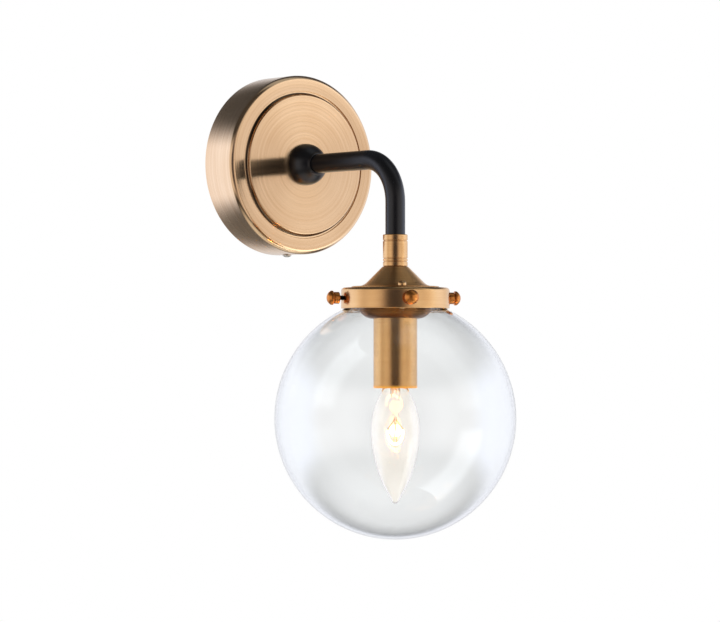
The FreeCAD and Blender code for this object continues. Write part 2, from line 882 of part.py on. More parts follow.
def earth_wire():
    """Wire from the lug on the strap to the tag behind the canopy's face."""
    level = s.ground_screw_height
    barrel = s.wire_radius + s.fit_gap + s.tag_thick
    lane = strap_front + barrel + s.lug_lift
    mouth = s.ground_screw_side - s.lug_radius + 0.6 - s.barrel_length
    tag = s.tag_reach - s.wire_radius - 0.3
    loop = s.earth_loop
    route = [spot(mouth + s.barrel_length * 0.6, lane, -level), spot(mouth - loop * 0.29, lane, -level),
             spot(mouth - loop * 0.62, lane + loop * 0.5, loop * 0.15 - level),
             spot(mouth - loop * 0.21, lane + loop * 0.92, loop * 0.48 - level),
             spot(0, lane + loop, -tag), spot(0, tag_back, -tag)]
    wire("earth_wire", route, s.wire_radius)


# ---------------------------------------------------------------------- neck and fitter
def neck_coupler():
    """Brass sleeve with three turned grooves; the arm seats in its top."""
    r, deep, wide = s.neck_radius, s.groove_depth, s.groove_width
    corners = [(r, -s.neck_drop, s.edge_ease)]
    for below in (3.6, 14.9, 16.7):
        level = -s.neck_drop - below
        corners += [(r, level), (r - deep, level), (r - deep, level - wide), (r, level - wide)]
    seat = s.arm_radius + s.fit_gap
    shoulder = -(s.neck_drop + s.neck_seat)
    corners += [(r, -neck_end), (nipple_hole, -neck_end), (nipple_hole, -lower_nipple_top),
                (s.nipple_bore + 0.4, -lower_nipple_top), (s.nipple_bore + 0.4, shoulder),
                (seat, shoulder), (seat, -s.neck_drop)]
    turned("neck_coupler", corners, on_lamp_axis())
    tube("lower_nipple", s.nipple_radius, s.nipple_bore, -lower_nipple_end, -lower_nipple_top,
         on_lamp_axis())


def plate_screw_spots():
    """Return the two places of the plate screws, on the fitter's own axes."""
    across = s.plate_screw_circle * sine(s.plate_screw_angle)
    along = s.plate_screw_circle * cosine(s.plate_screw_angle)
    return [(-across, -along), (across, along)]


def drill_for_plate_screws(body, name, radius):
    """Drill the two plate screw holes down through a piece."""
    def draw(sketch):
        for u, v in plate_screw_spots():
            round_line(sketch, u, v, radius)

    cut(body, name, "XY_Plane", draw)


def cone_cap():
    """Spun cap: round crown, straight flank, flared foot with a flat flange."""
    slant = math.sqrt(0.5)
    wall, crown = s.cone_wall, s.cone_crown
    low = [crown + s.cone_round * slant, neck_end + s.cone_round * (1 - slant)]
    flare_drop = flange_top - s.cone_flare * (1 - slant)
    flare_start = low[0] + flare_drop - low[1]
    flare_end = flare_start + s.cone_flare * slant
    inner_round = s.cone_round - wall
    inner_low = [crown + inner_round * slant, neck_end + s.cone_round - inner_round * slant]
    inner_end = inner_low[0] + ring_top - inner_low[1]
    corners = [(nipple_hole, -neck_end), (crown, -neck_end), ("arc", low[0], -low[1], -s.cone_round),
               (flare_start, -flare_drop), ("arc", flare_end, -flange_top, s.cone_flare),
               (s.cone_foot, -flange_top), (s.cone_foot, -ring_top), (inner_end, -ring_top),
               (inner_low[0], -inner_low[1]), ("arc", crown, -neck_end - wall, inner_round),
               (nipple_hole, -neck_end - wall)]
    body = turned("cone_cap", corners, on_lamp_axis(), (Vector(0, 0, 1), s.screw_turn))
    drill_for_plate_screws(body, "cone_screw_holes", s.plate_screw_shank + 2 * s.fit_gap)

    def seats(sketch):
        for u, v in plate_screw_spots():
            round_line(sketch, u, v, s.plate_screw_head + s.fit_gap)

    cut(body, "cone_screw_seats", "XY_Plane", seats, s.plate_screw_rise, lift=-flange_top, reverse=True)


def fitter_ring():
    """Cup-shaped ring with a flat top, four side holes and two plate screw holes."""
    corners = [(nipple_hole, -ring_top), (s.ring_radius, -ring_top, s.ring_round),
               (s.ring_radius, -ring_end, s.edge_ease), (ring_bore, -ring_end),
               (ring_bore, -plate_under, s.ring_round - s.ring_wall), (nipple_hole, -plate_under)]
    body = turned("fitter_ring", corners, on_lamp_axis(), (Vector(0, 0, 1), s.screw_turn))
    for role in ("XZ_Plane", "YZ_Plane"):
        cut(body, "side_holes_" + role[:2].lower(), role,
            lambda sketch: round_line(sketch, 0, -screw_drop, s.stud_radius + 4 * s.fit_gap))
    drill_for_plate_screws(body, "ring_screw_holes", s.plate_screw_shank + 2 * s.fit_gap)


def heat_shield():
    """Shallow dish under the fitter's plate, hung on two spacers, that the cup passes."""
    flat = s.shield_radius - s.shield_flange
    wall, deep = s.shield_wall, s.shield_depth
    hole = s.cup_radius + 3 * s.fit_gap
    bowl = cap_sphere(flat - hole, deep)
    rim = hole + leg(bowl - wall, bowl - deep - wall)
    low = shield_top + deep
    corners = [(hole, -low - wall), ("arc", flat, -shield_top - wall, bowl),
               (s.shield_radius, -shield_top - wall), (s.shield_radius, -shield_top),
               (rim, -shield_top), ("arc", hole, -low, wall - bowl)]
    body = turned("heat_shield", corners, on_lamp_axis(), (Vector(0, 0, 1), s.screw_turn))
    drill_for_plate_screws(body, "shield_screw_holes", s.plate_screw_shank + s.fit_gap)
    turn = (Vector(0, 0, 1), s.screw_turn)
    spacers, screws = [], []
    reach = s.cone_wall + s.ring_wall + s.shield_drop + s.shield_wall + 1
    for u, v in plate_screw_spots():
        outer = cylinder("spacer_outside", s.spacer_radius, s.shield_drop, (u, v, -shield_top))
        inner = cylinder("spacer_bore", s.plate_screw_shank + s.fit_gap, s.shield_drop, (u, v, -shield_top))
        spacers.append(less("spacer", outer, inner))
        head = cylinder("plate_screw_head", s.plate_screw_head, s.plate_screw_rise, (u, v, -flange_top))
        slot = block("plate_screw_slot", (s.plate_screw_head * 2.4, 0.8, 1.2),
                     (u, v, -flange_top + s.plate_screw_rise - 1.0))
        shank = cylinder("plate_screw_shank", s.plate_screw_shank, reach, (u, v, -flange_top - reach))
        whole = doc.addObject("Part::Fuse", "plate_screw_whole")
        whole.Base = head
        whole.Tool = shank
        screws.append(less("plate_screw", whole, slot))
    group("shield_spacers", spacers, on_lamp_axis(), turn)
    group("plate_screws", screws, on_lamp_axis(), turn)


def fitter_clamp():
    """Washer and nut that clamp cap, fitter and cup against the neck."""
    tube("fitter_washer", s.nut_flats / 2 + 1, nipple_hole, -nut_top, -cup_under, on_lamp_axis())
    hex_nut("fitter_nut", s.nut_flats, s.nut_thick, nipple_hole, on_lamp_axis(nut_top + s.nut_thick))


# -------------------------------------------------------------------------- thumbscrews
def stud_bushes():
    """Four tapped bushes welded inside the ring."""
    seat = leg(ring_bore, s.stud_bush_radius) - 0.02
    bushes = []
    for step in range(4):
        angle = QUARTER * step
        across = math.sin(math.radians(angle))
        along = math.cos(math.radians(angle))
        near = seat - s.stud_bush_thick
        outer = cylinder("bush_outside", s.stud_bush_radius, s.stud_bush_thick, (0, 0, 0))
        inner = cylinder("bush_bore", stud_hole, s.stud_bush_thick, (0, 0, 0))
        bush = less("stud_bush", outer, inner)
        facing = Rotation(Vector(0, 0, 1), angle) * Rotation(Vector(1, 0, 0), 90)
        bush.Placement = Placement(Vector(near.value * across, -near.value * along, 0), facing)
        bush.setExpression("Placement.Base.x", (near * across).formula)
        bush.setExpression("Placement.Base.y", (-near * along).formula)
        bushes.append(bush)
    group("thumbscrew_bushes", bushes, on_lamp_axis(screw_drop), (Vector(0, 0, 1), s.screw_turn))


def thumbscrew(side, quarter, back_off):
    """One thumbscrew: brass knob on a black stud with a nylon tip that doesn't turn."""
    at = on_lamp_axis(screw_drop)
    turn = (Vector(0, 0, 1), s.screw_turn + QUARTER * quarter)
    face = s.mouth_radius + s.mouth_gap + back_off
    joint = face + s.tip_length
    pin_end = joint + s.tip_pin_length
    knob = s.ring_radius + s.knob_gap + back_off
    r, pin, shoulder = s.stud_radius, s.tip_pin, s.knob_shoulder
    stud_end = knob + s.stud_grip
    stud_start = joint + s.fit_gap
    bore = pin + s.fit_gap
    turned("thumbscrew_tip_" + side,
           [(-face, 0), (-face, r), (-joint, r), (-joint, pin), (-pin_end, pin), (-pin_end, 0)],
           at, turn, lying=True)
    deep = pin_end + s.fit_gap
    turned("thumbscrew_stud_" + side,
           [(-stud_start, bore), (-stud_start, r), (-stud_end, r), (-stud_end, 0), (-deep, 0), (-deep, bore)],
           at, turn, lying=True)
    step = knob + s.shoulder_length
    brim = step + 0.6
    dome = brim + 1.2
    tip = knob + s.knob_length
    seat = r + s.fit_gap / 2
    height = tip - dome
    turned("thumbscrew_knob_" + side,
           [(-knob, seat), (-knob, shoulder, s.edge_ease), (-step, shoulder), (-step, shoulder - 0.5),
            (-brim, shoulder - 0.5), (-brim, s.knob_radius), (-dome, s.knob_radius),
            ("arc", -tip, 0, cap_sphere(s.knob_radius, height)), (-stud_end - s.fit_gap, 0),
            (-stud_end - s.fit_gap, seat)],
           at, turn, lying=True)


def thumbscrews():
    """Four screws a quarter turn apart; the left one is backed off a little."""
    stud_bushes()
    for quarter, side in enumerate(("front", "right", "back", "left")):
        thumbscrew(side, quarter, s.left_back_off if side == "left" else size(0))


# -------------------------------------------------------------------------------- globe
def globe():
    """Blown globe, its upright mouth joined by a fillet on both faces."""
    big, t, mouth = s.globe_radius, s.glass_wall, s.mouth_radius
    fillet = s.mouth_fillet
    centre_out = mouth + fillet
    centre_up = leg(big + fillet, centre_out)
    level = -(mouth_top + s.globe_neck + centre_up)
    share = big / (big + fillet)
    inner_share = (big - t) / (big + fillet)
    corners = [
        (mouth, -mouth_top, t / 2 - 0.1), (mouth, level + centre_up),
        ("arc", centre_out * share, level + centre_up * share, fillet),
        ("arc", 0, level - big, -big), (0, level - big + t),
        ("arc", centre_out * inner_share, level + centre_up * inner_share, big - t),
        ("arc", mouth - t, level + centre_up, -(fillet + t)), (mouth - t, -mouth_top, t / 2 - 0.1)]
    turned("globe", corners, on_lamp_axis())


# ------------------------------------------------------------------------------- socket
def socket_cup():
    """Brass cup that hides the socket, clamped under the fitter's plate."""
    r, t = s.cup_radius, s.cup_wall
    turned("socket_cup", [(nipple_hole, -plate_under), (r, -plate_under, s.cup_round), (r, -cup_end),
                          (r - t, -cup_end), (r - t, -cup_under, s.cup_round - t),
                          (nipple_hole, -cup_under)], on_lamp_axis())


def socket():
    """Lamp holder: cap on the nipple, body, screw shell, sprung contact, terminals."""
    r, t = s.socket_radius, s.socket_wall
    turned("socket_cap", [(nipple_hole, -socket_top), (r, -socket_top, 2.0), (r, -socket_joint),
                          (r - t, -socket_joint), (r - t, -socket_top - t),
                          (nipple_hole, -socket_top - t)], on_lamp_axis())
    bore = s.shell_bore + s.shell_wall + s.fit_gap
    floor = socket_joint + s.socket_floor
    turned("socket_body", [(0, -socket_joint), (r, -socket_joint), (r, -socket_end, 0.8),
                           (bore, -socket_end), (bore, -floor), (0, -floor)], on_lamp_axis())
    tube("socket_shell", s.shell_bore + s.shell_wall, s.shell_bore, -shell_end, s.shell_length - shell_end,
         on_lamp_axis())
    top = contact_end - s.contact_gap
    turned("socket_contact", [(0, -floor), (s.spring_base, -floor), (s.spring_base, -floor - 1),
                              (1.2, -floor - 1), (1.2, -top + 1.2), (2.0, -top + 1.2), (2.0, -top),
                              (0, -top)], on_lamp_axis())
    side = s.terminal_side
    posts = [block("terminal_post", (side, side, s.terminal_rise),
                   (s.terminal_spread * sign, size(0), -socket_joint)) for sign in (1, -1)]
    group("socket_terminals", posts, on_lamp_axis())


# --------------------------------------------------------------------------------- bulb
def bulb_outline(inset):
    """Return throat, shoulder, waist, point and nose of the glass, drawn in by inset."""
    throat = (s.bulb_throat - inset, -cap_rim)
    shoulder = (s.bulb_shoulder - inset, -cap_rim - s.bulb_shoulder_run)
    waist = (s.bulb_radius - inset, -cap_rim - s.bulb_waist_run)
    point = (s.bulb_point - inset, -bulb_tip + s.bulb_point_rise + inset * 0.6)
    nose = (s.bulb_nose - inset * 0.6, -bulb_tip + s.bulb_nose_rise + inset * 0.9)
    tip = (size(0), -bulb_tip + inset)
    return throat, shoulder, waist, point, nose, tip


def waist_arc(start, waist):
    """Return the radius of the round through start that is upright at the waist."""
    across = waist[0] - start[0]
    along = waist[1] - start[1]
    return (across * across + along * along) / (2 * across)


def bulb_glass():
    """Torpedo-shaped glass with a drawn tip."""
    outer = bulb_outline(size(0))
    inner = bulb_outline(s.bulb_wall)
    corners = [outer[0], outer[1], ("arc", *outer[2], -waist_arc(outer[1], outer[2])),
               ("arc", *outer[3], -waist_arc(outer[3], outer[2])), outer[4],
               ("arc", *outer[5], -cap_sphere(outer[4][0], outer[4][1] - outer[5][1])), inner[5],
               ("arc", *inner[4], cap_sphere(inner[4][0], inner[4][1] - inner[5][1])), inner[3],
               ("arc", *inner[2], waist_arc(inner[3], inner[2])),
               ("arc", *inner[1], waist_arc(inner[1], inner[2])), inner[0]]
    turned("bulb_glass", corners, on_lamp_axis())


def bulb_cap():
    """Screw cap, glass insulator and end contact."""
    r, t = s.cap_radius, s.cap_wall
    hole = s.contact_radius - 0.4
    turned("bulb_cap", [(hole, -cap_start), (r, -cap_start, 0.8), (r, -cap_rim), (r - t, -cap_rim),
                        (r - t, -cap_start - t), (hole, -cap_start - t)], on_lamp_axis())
    turned("bulb_insulator", [(0, -cap_start), (r - 1, -cap_start), (s.contact_radius + 0.4, -cap_end),
                              (0, -cap_end)], on_lamp_axis())
    tube_end = [(0, -cap_end), (s.contact_radius, -cap_end), (s.contact_radius, -contact_end, 0.3),
                (0, -contact_end)]
    turned("bulb_contact", tube_end, on_lamp_axis())


def bulb_inside():
    """Glass stem, lead wires, filament supports and the filament."""
    flare = s.bulb_throat - s.bulb_wall - s.fit_gap
    start = cap_rim
    button = s.stem_waist + s.stem_button
    brow = s.stem_button_rise - stem_end
    turned("bulb_stem", [(0, -start), (flare, -start), (s.stem_radius, -start - s.stem_flare),
                         (s.stem_radius, -start - s.stem_barrel), (s.stem_waist, -start - s.stem_taper),
                         (s.stem_waist, brow + 1), (button, brow), (button, -stem_end), (0, -stem_end)],
           on_lamp_axis())
    half, top, out = s.filament_half, cap_rim + s.filament_run, s.lamp_out
    low = top + s.filament_sag
    hold = low - s.filament_radius - s.lead_radius - 0.15
    leads, supports = [], []
    for side in (1, -1):
        near = s.stem_waist * 0.5 * side
        leads.append(wire("lead_half", [
            spot(near, out, stem_end), spot(near * 1.3, out, stem_end + 2),
            spot(half * side, out, top - 0.2)], s.lead_radius))
        supports.append(wire("support_half", [
            spot(0, out - 1.0 * side, stem_end), spot(0.5 * side, out - 1.2 * side, stem_end + 5),
            spot(1.3 * side, out, hold)], s.lead_radius))
    group("bulb_leads", leads)
    group("bulb_supports", supports)
    shoulder, bottom = half * 0.9, half * 0.42
    wire("bulb_filament", [
        spot(half, out, top), spot(shoulder, out, top + s.filament_sag * 0.55), spot(bottom, out, low),
        spot(-bottom, out, low), spot(-shoulder, out, top + s.filament_sag * 0.55),
        spot(-half, out, top)], s.filament_radius)


# ---------------------------------------------------------------------- check and write
HELPERS = ("lead_half", "support_half")


def sub_parts():
    """Return the objects that are pieces of the sconce, by their label."""
    kinds = ("PartDesign::Body", "Part::Compound", "Part::Feature")
    found = {}
    for thing in doc.Objects:
        if thing.TypeId in kinds and not thing.Label.startswith(HELPERS):
            found[thing.Label] = thing
    return found


def check_all(pieces):
    """Stop if any object or sub-part failed."""
    for thing in doc.Objects:
        if any(word in thing.State for word in ("Invalid", "Error")):
            raise ValueError("%s: %s" % (thing.Label, thing.State))
    for label, piece in pieces.items():
        if piece.Shape.isNull() or not piece.Shape.isValid():
            raise ValueError("%s has no valid shape" % label)


def write_all(pieces):
    """Write one STEP file for each sub-part."""
    os.makedirs("parts", exist_ok=True)
    for label, piece in pieces.items():
        piece.Shape.exportStep("parts/%s.step" % label)
        print("%-24s %10.1f mm3, %d solid(s)" % (label, piece.Shape.Volume, len(piece.Shape.Solids)))


wall_bracket()
canopy()
canopy_hook()
bracket_screws()
earth_lug()
earth_tag()
terminal_block()
arm_base_ball()
arm_tube()
arm_fastenings()
lamp_wires()
earth_wire()
neck_coupler()
cone_cap()
fitter_ring()
heat_shield()
fitter_clamp()
thumbscrews()
globe()
socket_cup()
socket()
bulb_glass()
bulb_cap()
bulb_inside()
doc.recompute()
PIECES = sub_parts()
check_all(PIECES)
write_all(PIECES)
print("%d sub-parts" % len(PIECES))
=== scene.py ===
"""Dress the globe wall sconce: spun brass canopy, black arm, brass fitter, clear globe, lit bulb.

The frame is the CAD one: metres, origin on the wall behind the canopy's middle, +Z up and
the lamp standing out along -Y.  Sizes in the classes are millimetres, and a drop is a
distance below the origin.
"""
import logging
import math
from collections.abc import Iterable, Sequence
from dataclasses import dataclass, field
from enum import Enum

import bmesh
import bpy
from mathutils import Matrix, Vector


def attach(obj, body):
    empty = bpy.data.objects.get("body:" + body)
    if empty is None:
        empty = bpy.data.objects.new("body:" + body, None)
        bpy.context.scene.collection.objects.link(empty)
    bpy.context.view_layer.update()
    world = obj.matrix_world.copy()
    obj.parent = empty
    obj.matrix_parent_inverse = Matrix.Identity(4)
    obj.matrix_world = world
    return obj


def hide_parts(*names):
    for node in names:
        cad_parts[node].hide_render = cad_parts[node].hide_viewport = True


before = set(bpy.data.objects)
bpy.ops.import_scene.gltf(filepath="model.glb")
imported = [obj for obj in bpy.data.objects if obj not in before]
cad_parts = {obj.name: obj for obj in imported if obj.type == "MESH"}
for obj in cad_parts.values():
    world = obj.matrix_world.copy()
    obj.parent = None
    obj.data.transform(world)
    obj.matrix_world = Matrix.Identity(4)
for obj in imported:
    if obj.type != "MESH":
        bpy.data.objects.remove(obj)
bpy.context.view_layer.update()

LOG = logging.getLogger("sconce")
MM = 0.001
WELD = 1e-7
DIAGONAL = math.sqrt(0.5)
# smooth noise seldom leaves this range
NOISE_LOW, NOISE_HIGH = 0.3, 0.7

Point = tuple[float, float]
Spot = tuple[float, float, float]


def linear(hex_colour: str) -> tuple[float, float, float, float]:
    """Turn an sRGB hex colour into linear RGBA.

    Args:
        hex_colour: Six hex digits, as read off a picture.

    Returns:
        Linear red, green, blue and an alpha of one.
    """
    channels = []
    for start in (0, 2, 4):
        value = int(hex_colour[start:start + 2], 16) / 255
        channels.append(value / 12.92 if value <= 0.04045 else ((value + 0.055) / 1.055) ** 2.4)
    return (channels[0], channels[1], channels[2], 1.0)


# ------------------------------------------------------------------------- outlines, in mm
@dataclass(frozen=True)
class Corner:
    """A corner of a half outline: distance from the axis, place along it, and its round."""

    radius: float
    along: float
    round: float = 0.0


def rounded(corners: Sequence[Corner], step: float = 9.0) -> list[Point]:
    """Replace each corner that has a round by points on its arc.

    Args:
        corners: The outline's corners in order, as a closed loop.
        step: Largest turn between two points of an arc, in degrees.

    Returns:
        The loop's points.
    """
    points: list[Point] = []
    for index, corner in enumerate(corners):
        here = Vector((corner.radius, corner.along))
        if corner.round <= 0:
            points.append((here.x, here.y))
            continue
        before = corners[index - 1]
        after = corners[(index + 1) % len(corners)]
        back = (Vector((before.radius, before.along)) - here).normalized()
        forth = (Vector((after.radius, after.along)) - here).normalized()
        between = back.angle(forth)
        reach = corner.round / math.tan(between / 2)
        centre = here + (back + forth).normalized() * (corner.round / math.sin(between / 2))
        first = here + back * reach - centre
        turn = first.angle_signed(here + forth * reach - centre)
        count = max(2, math.ceil(abs(math.degrees(turn)) / step))
        for part in range(count + 1):
            spoke = Matrix.Rotation(-turn * part / count, 2) @ first
            points.append((centre.x + spoke.x, centre.y + spoke.y))
    return points


def arc(centre: Point, radius: float, start: float, end: float, step: float = 4.0) -> list[Corner]:
    """Return corners along an arc, its ends included.

    Args:
        centre: The arc's centre.
        radius: Its radius.
        start: Angle of its first point in degrees, from the radial direction.
        end: Angle of its last point.
        step: Largest turn between two points, in degrees.

    Returns:
        The points as corners with no round.
    """
    count = max(1, math.ceil(abs(end - start) / step))
    corners = []
    for part in range(count + 1):
        angle = math.radians(start + (end - start) * part / count)
        corners.append(Corner(centre[0] + radius * math.cos(angle),
                              centre[1] + radius * math.sin(angle)))
    return corners


def arc_between(start: Point, end: Point, radius: float, step: float = 4.0) -> list[Corner]:
    """Return corners along the short arc between two points.

    Args:
        start: First point.
        end: Last point.
        radius: The arc's radius, positive where it turns left and negative where right.
        step: Largest turn between two points, in degrees.

    Returns:
        The points as corners with no round.
    """
    first, last = Vector(start), Vector(end)
    chord = last - first
    left = Vector((-chord.y, chord.x)).normalized()
    height = math.sqrt(max(radius * radius - chord.length_squared / 4, 0.0))
    centre = (first + last) / 2 + left * math.copysign(height, radius)
    angle = math.degrees(math.atan2(first.y - centre.y, first.x - centre.x))
    turn = 2 * math.degrees(math.asin(min(1.0, chord.length / 2 / abs(radius))))
    return arc((centre.x, centre.y), abs(radius), angle, angle + math.copysign(turn, radius), step)


def bow(half_width: float, rise: float) -> float:
    """Return the radius of the arc that rises this much over half its width."""
    return (half_width ** 2 + rise ** 2) / (2 * rise)


def dome(radius: float, foot: float, top: float, step: float = 8.0) -> list[Corner]:
    """Return corners over a domed head, from its side to its middle.

    Args:
        radius: The head's radius.
        foot: Where the dome starts along the axis.
        top: Where it ends.
        step: Largest turn between two points, in degrees.

    Returns:
        The points as corners with no round.
    """
    return arc_between((radius, foot), (0, top), bow(radius, top - foot), step)


# ------------------------------------------------------------------------------- workbench
@dataclass(frozen=True)
class Axis:
    """A line that a piece is turned about: a point on it in mm, and its direction."""

    point: Spot
    towards: Spot

    def matrix(self) -> Matrix:
        """Return the matrix that carries the upright axis at the origin onto this one."""
        turn = Vector((0, 0, 1)).rotation_difference(Vector(self.towards)).to_matrix().to_4x4()
        return Matrix.Translation(Vector(self.point) * MM) @ turn


LAMP_OUT = 123.5
UPRIGHT = Axis((0, 0, 0), (0, 0, 1))
OUTWARDS = Axis((0, 0, 0), (0, -1, 0))
LAMP = Axis((0, -LAMP_OUT, 0), (0, 0, 1))

# sizes that several sub-assemblies share
DISC_OUT = 31.1
NIPPLE_HOLE = 4.95
TUBE_RADIUS = 6.25
TUBE_PLAY = 0.05
RING_RADIUS = 34.3
SCREW_DROP = 88.5
FIRST_SCREW = -24.3


def screw_axis(quarter: int, out: float) -> Axis:
    """Return the line of one of the four thumbscrews.

    Args:
        quarter: Which of the four, counted round from the front one.
        out: How far from the lamp's axis the line's point lies.

    Returns:
        The line, pointing away from the lamp.
    """
    angle = math.radians(FIRST_SCREW + 90 * quarter)
    towards = (math.sin(angle), -math.cos(angle), 0.0)
    return Axis((towards[0] * out, towards[1] * out - LAMP_OUT, -SCREW_DROP), towards)


class Bench:
    """Modelling steps that the sub-assemblies share."""

    @staticmethod
    def clear() -> None:
        """Deselect every object, so that an operator acts on new work alone."""
        bpy.ops.object.select_all(action="DESELECT")

    @staticmethod
    def alone(piece: bpy.types.Object) -> None:
        """Select one piece alone and make it the active one.

        Args:
            piece: What the next operator acts on.
        """
        Bench.clear()
        piece.select_set(True)
        bpy.context.view_layer.objects.active = piece

    @staticmethod
    def named(name: str) -> bpy.types.Object:
        """Name the active object, such as a primitive that was just added, and its data.

        Args:
            name: Its new name.

        Returns:
            The object.
        """
        piece = bpy.context.active_object
        piece.name = name
        piece.data.name = name
        return piece

    @staticmethod
    def placed(name: str, data: bpy.types.ID) -> bpy.types.Object:
        """Add an object that shows the given data.

        Args:
            name: The object's name.
            data: A mesh, a lamp or a camera.

        Returns:
            The object, in the scene.
        """
        thing = bpy.data.objects.new(name, data)
        bpy.context.scene.collection.objects.link(thing)
        return thing

    @staticmethod
    def grounded() -> None:
        """Put the selected piece's place, turn and scale in its mesh."""
        bpy.ops.object.transform_apply(location=True, rotation=True, scale=True)

    @staticmethod
    def modified(piece: bpy.types.Object, kind: str, **settings: object) -> None:
        """Give a piece a modifier and apply it.

        Args:
            piece: The piece.
            kind: The modifier's type.
            **settings: Its values by attribute name.
        """
        Bench.alone(piece)
        modifier = piece.modifiers.new(kind.lower(), kind)
        for key, value in settings.items():
            setattr(modifier, key, value)
        bpy.ops.object.modifier_apply(modifier=modifier.name)

    @staticmethod
    def welded(distance: float = WELD) -> None:
        """Select all in edit mode and merge what lies in one place.

        Args:
            distance: How close that is, in metres.
        """
        bpy.ops.mesh.select_all(action="SELECT")
        bpy.ops.mesh.remove_doubles(threshold=distance)

    @staticmethod
    def closed() -> None:
        """Weld the mesh in edit mode, turn its faces outwards and go back to object mode."""
        Bench.welded()
        bpy.ops.mesh.normals_make_consistent(inside=False)
        bpy.ops.object.mode_set(mode="OBJECT")

    @staticmethod
    def edges_on_axis(piece: bpy.types.Object) -> bool:
        """Select, in edit mode, the edges that lie on the upright axis.

        Args:
            piece: The object in edit mode, flat in the XZ plane.

        Returns:
            Whether there are any.
        """
        bpy.ops.mesh.select_all(action="DESELECT")
        bpy.ops.mesh.select_mode(type="EDGE")
        mesh = bmesh.from_edit_mesh(piece.data)
        found = [edge for edge in mesh.edges if max(abs(end.co.x) for end in edge.verts) < WELD]
        for edge in found:
            edge.select_set(True)
        bmesh.update_edit_mesh(piece.data)
        return bool(found)

    @staticmethod
    def loop(name: str, points: Sequence[Point]) -> bpy.types.Object:
        """Add a circle with one vertex for each outline point and lay it on the outline.

        Args:
            name: The new object's name.
            points: Half outline in mm.

        Returns:
            The object, active and selected, its loop in the XZ plane.
        """
        Bench.clear()
        bpy.ops.mesh.primitive_circle_add(vertices=len(points), radius=1.0, location=(0, 0, 0))
        piece = Bench.named(name)
        for vertex, (radius, along) in zip(piece.data.vertices, points):
            vertex.co = (radius * MM, 0.0, along * MM)
        return piece

    @staticmethod
    def turned(name: str, points: Sequence[Point], axis: Axis, sides: int = 96,
               smooth: float = 40.0) -> bpy.types.Object:
        """Spin a closed half outline about an axis into a solid of revolution.

        Args:
            name: The new object's name.
            points: Half outline in mm: distance from the axis and place along it.
            axis: What it is turned about.
            sides: Steps in the full turn.
            smooth: Edges flatter than this, in degrees, are shaded smooth.

        Returns:
            The finished piece.
        """
        piece = Bench.loop(name, points)
        bpy.ops.object.mode_set(mode="EDIT")
        if Bench.edges_on_axis(piece):
            bpy.ops.mesh.delete(type="EDGE")
        bpy.ops.mesh.select_all(action="SELECT")
        bpy.ops.mesh.spin(steps=sides, angle=math.tau, center=(0, 0, 0), axis=(0, 0, 1))
        Bench.closed()
        return Bench.settled(piece, axis.matrix(), smooth)

    @staticmethod
    def settled(piece: bpy.types.Object, place: Matrix | None = None,
                smooth: float = 40.0) -> bpy.types.Object:
        """Put a piece in its place, with the place in its mesh, and shade it.

        Args:
            piece: The object to settle.
            place: Where it goes.
            smooth: Edges flatter than this, in degrees, are shaded smooth.

        Returns:
            The same piece.
        """
        Bench.alone(piece)
        if place is not None:
            piece.matrix_world = place @ piece.matrix_world
        Bench.grounded()
        bpy.ops.object.shade_smooth_by_angle(angle=math.radians(smooth))
        return piece

    @staticmethod
    def cutter_box(size: Spot, middle: Spot, turn: float = 0.0) -> bpy.types.Object:
        """Add a block that a boolean will cut with.

        Args:
            size: Its three sides in mm.
            middle: Its middle in mm.
            turn: Its turn about the upright axis in degrees.

        Returns:
            The block.
        """
        Bench.clear()
        bpy.ops.mesh.primitive_cube_add(size=1.0, location=Vector(middle) * MM,
                                        rotation=(0, 0, math.radians(turn)))
        block = Bench.named("cutter")
        block.scale = Vector(size) * MM
        Bench.grounded()
        return block

    @staticmethod
    def cutter_rod(radius: float, length: float, axis: Axis) -> bpy.types.Object:
        """Add a round rod that a boolean will cut with.

        Args:
            radius: Its radius in mm.
            length: Its length in mm.
            axis: Its middle and direction.

        Returns:
            The rod.
        """
        Bench.clear()
        bpy.ops.mesh.primitive_cylinder_add(vertices=32, radius=radius * MM, depth=length * MM)
        rod = Bench.named("cutter")
        rod.matrix_world = axis.matrix()
        Bench.grounded()
        return rod

    @staticmethod
    def cut(piece: bpy.types.Object, cutters: Iterable[bpy.types.Object]) -> None:
        """Cut a piece by booleans and delete the cutters.

        Args:
            piece: What is cut.
            cutters: What cuts it.
        """
        for cutter in cutters:
            Bench.modified(piece, "BOOLEAN", operation="DIFFERENCE", solver="EXACT", object=cutter)
            bpy.data.objects.remove(cutter, do_unlink=True)

    @staticmethod
    def helix(name: str, points: Sequence[Point], pitch: float, turns: int,
              sides: int) -> bpy.types.Object:
        """Wind a closed tooth outline up the upright axis and close its two ends.

        Args:
            name: The new object's name.
            points: The tooth's outline in mm.
            pitch: Rise for each turn in mm.
            turns: Whole turns.
            sides: Steps in a turn.

        Returns:
            The wound tooth.
        """
        piece = Bench.loop(name, points)
        Bench.modified(piece, "SCREW", axis="Z", screw_offset=pitch * MM, iterations=turns,
                       steps=sides, render_steps=sides)
        bpy.ops.object.mode_set(mode="EDIT")
        Bench.welded()
        bpy.ops.mesh.select_all(action="DESELECT")
        bpy.ops.mesh.select_non_manifold(extend=False)
        bpy.ops.mesh.edge_face_add()
        Bench.closed()
        return piece

    @staticmethod
    def joined(name: str, parts: Sequence[bpy.types.Object]) -> bpy.types.Object:
        """Join parts into the first of them.

        Args:
            name: Name of the joined piece.
            parts: What is joined.

        Returns:
            The joined piece.
        """
        Bench.alone(parts[0])
        for part in parts:
            part.select_set(True)
        bpy.ops.object.join()
        return Bench.named(name)

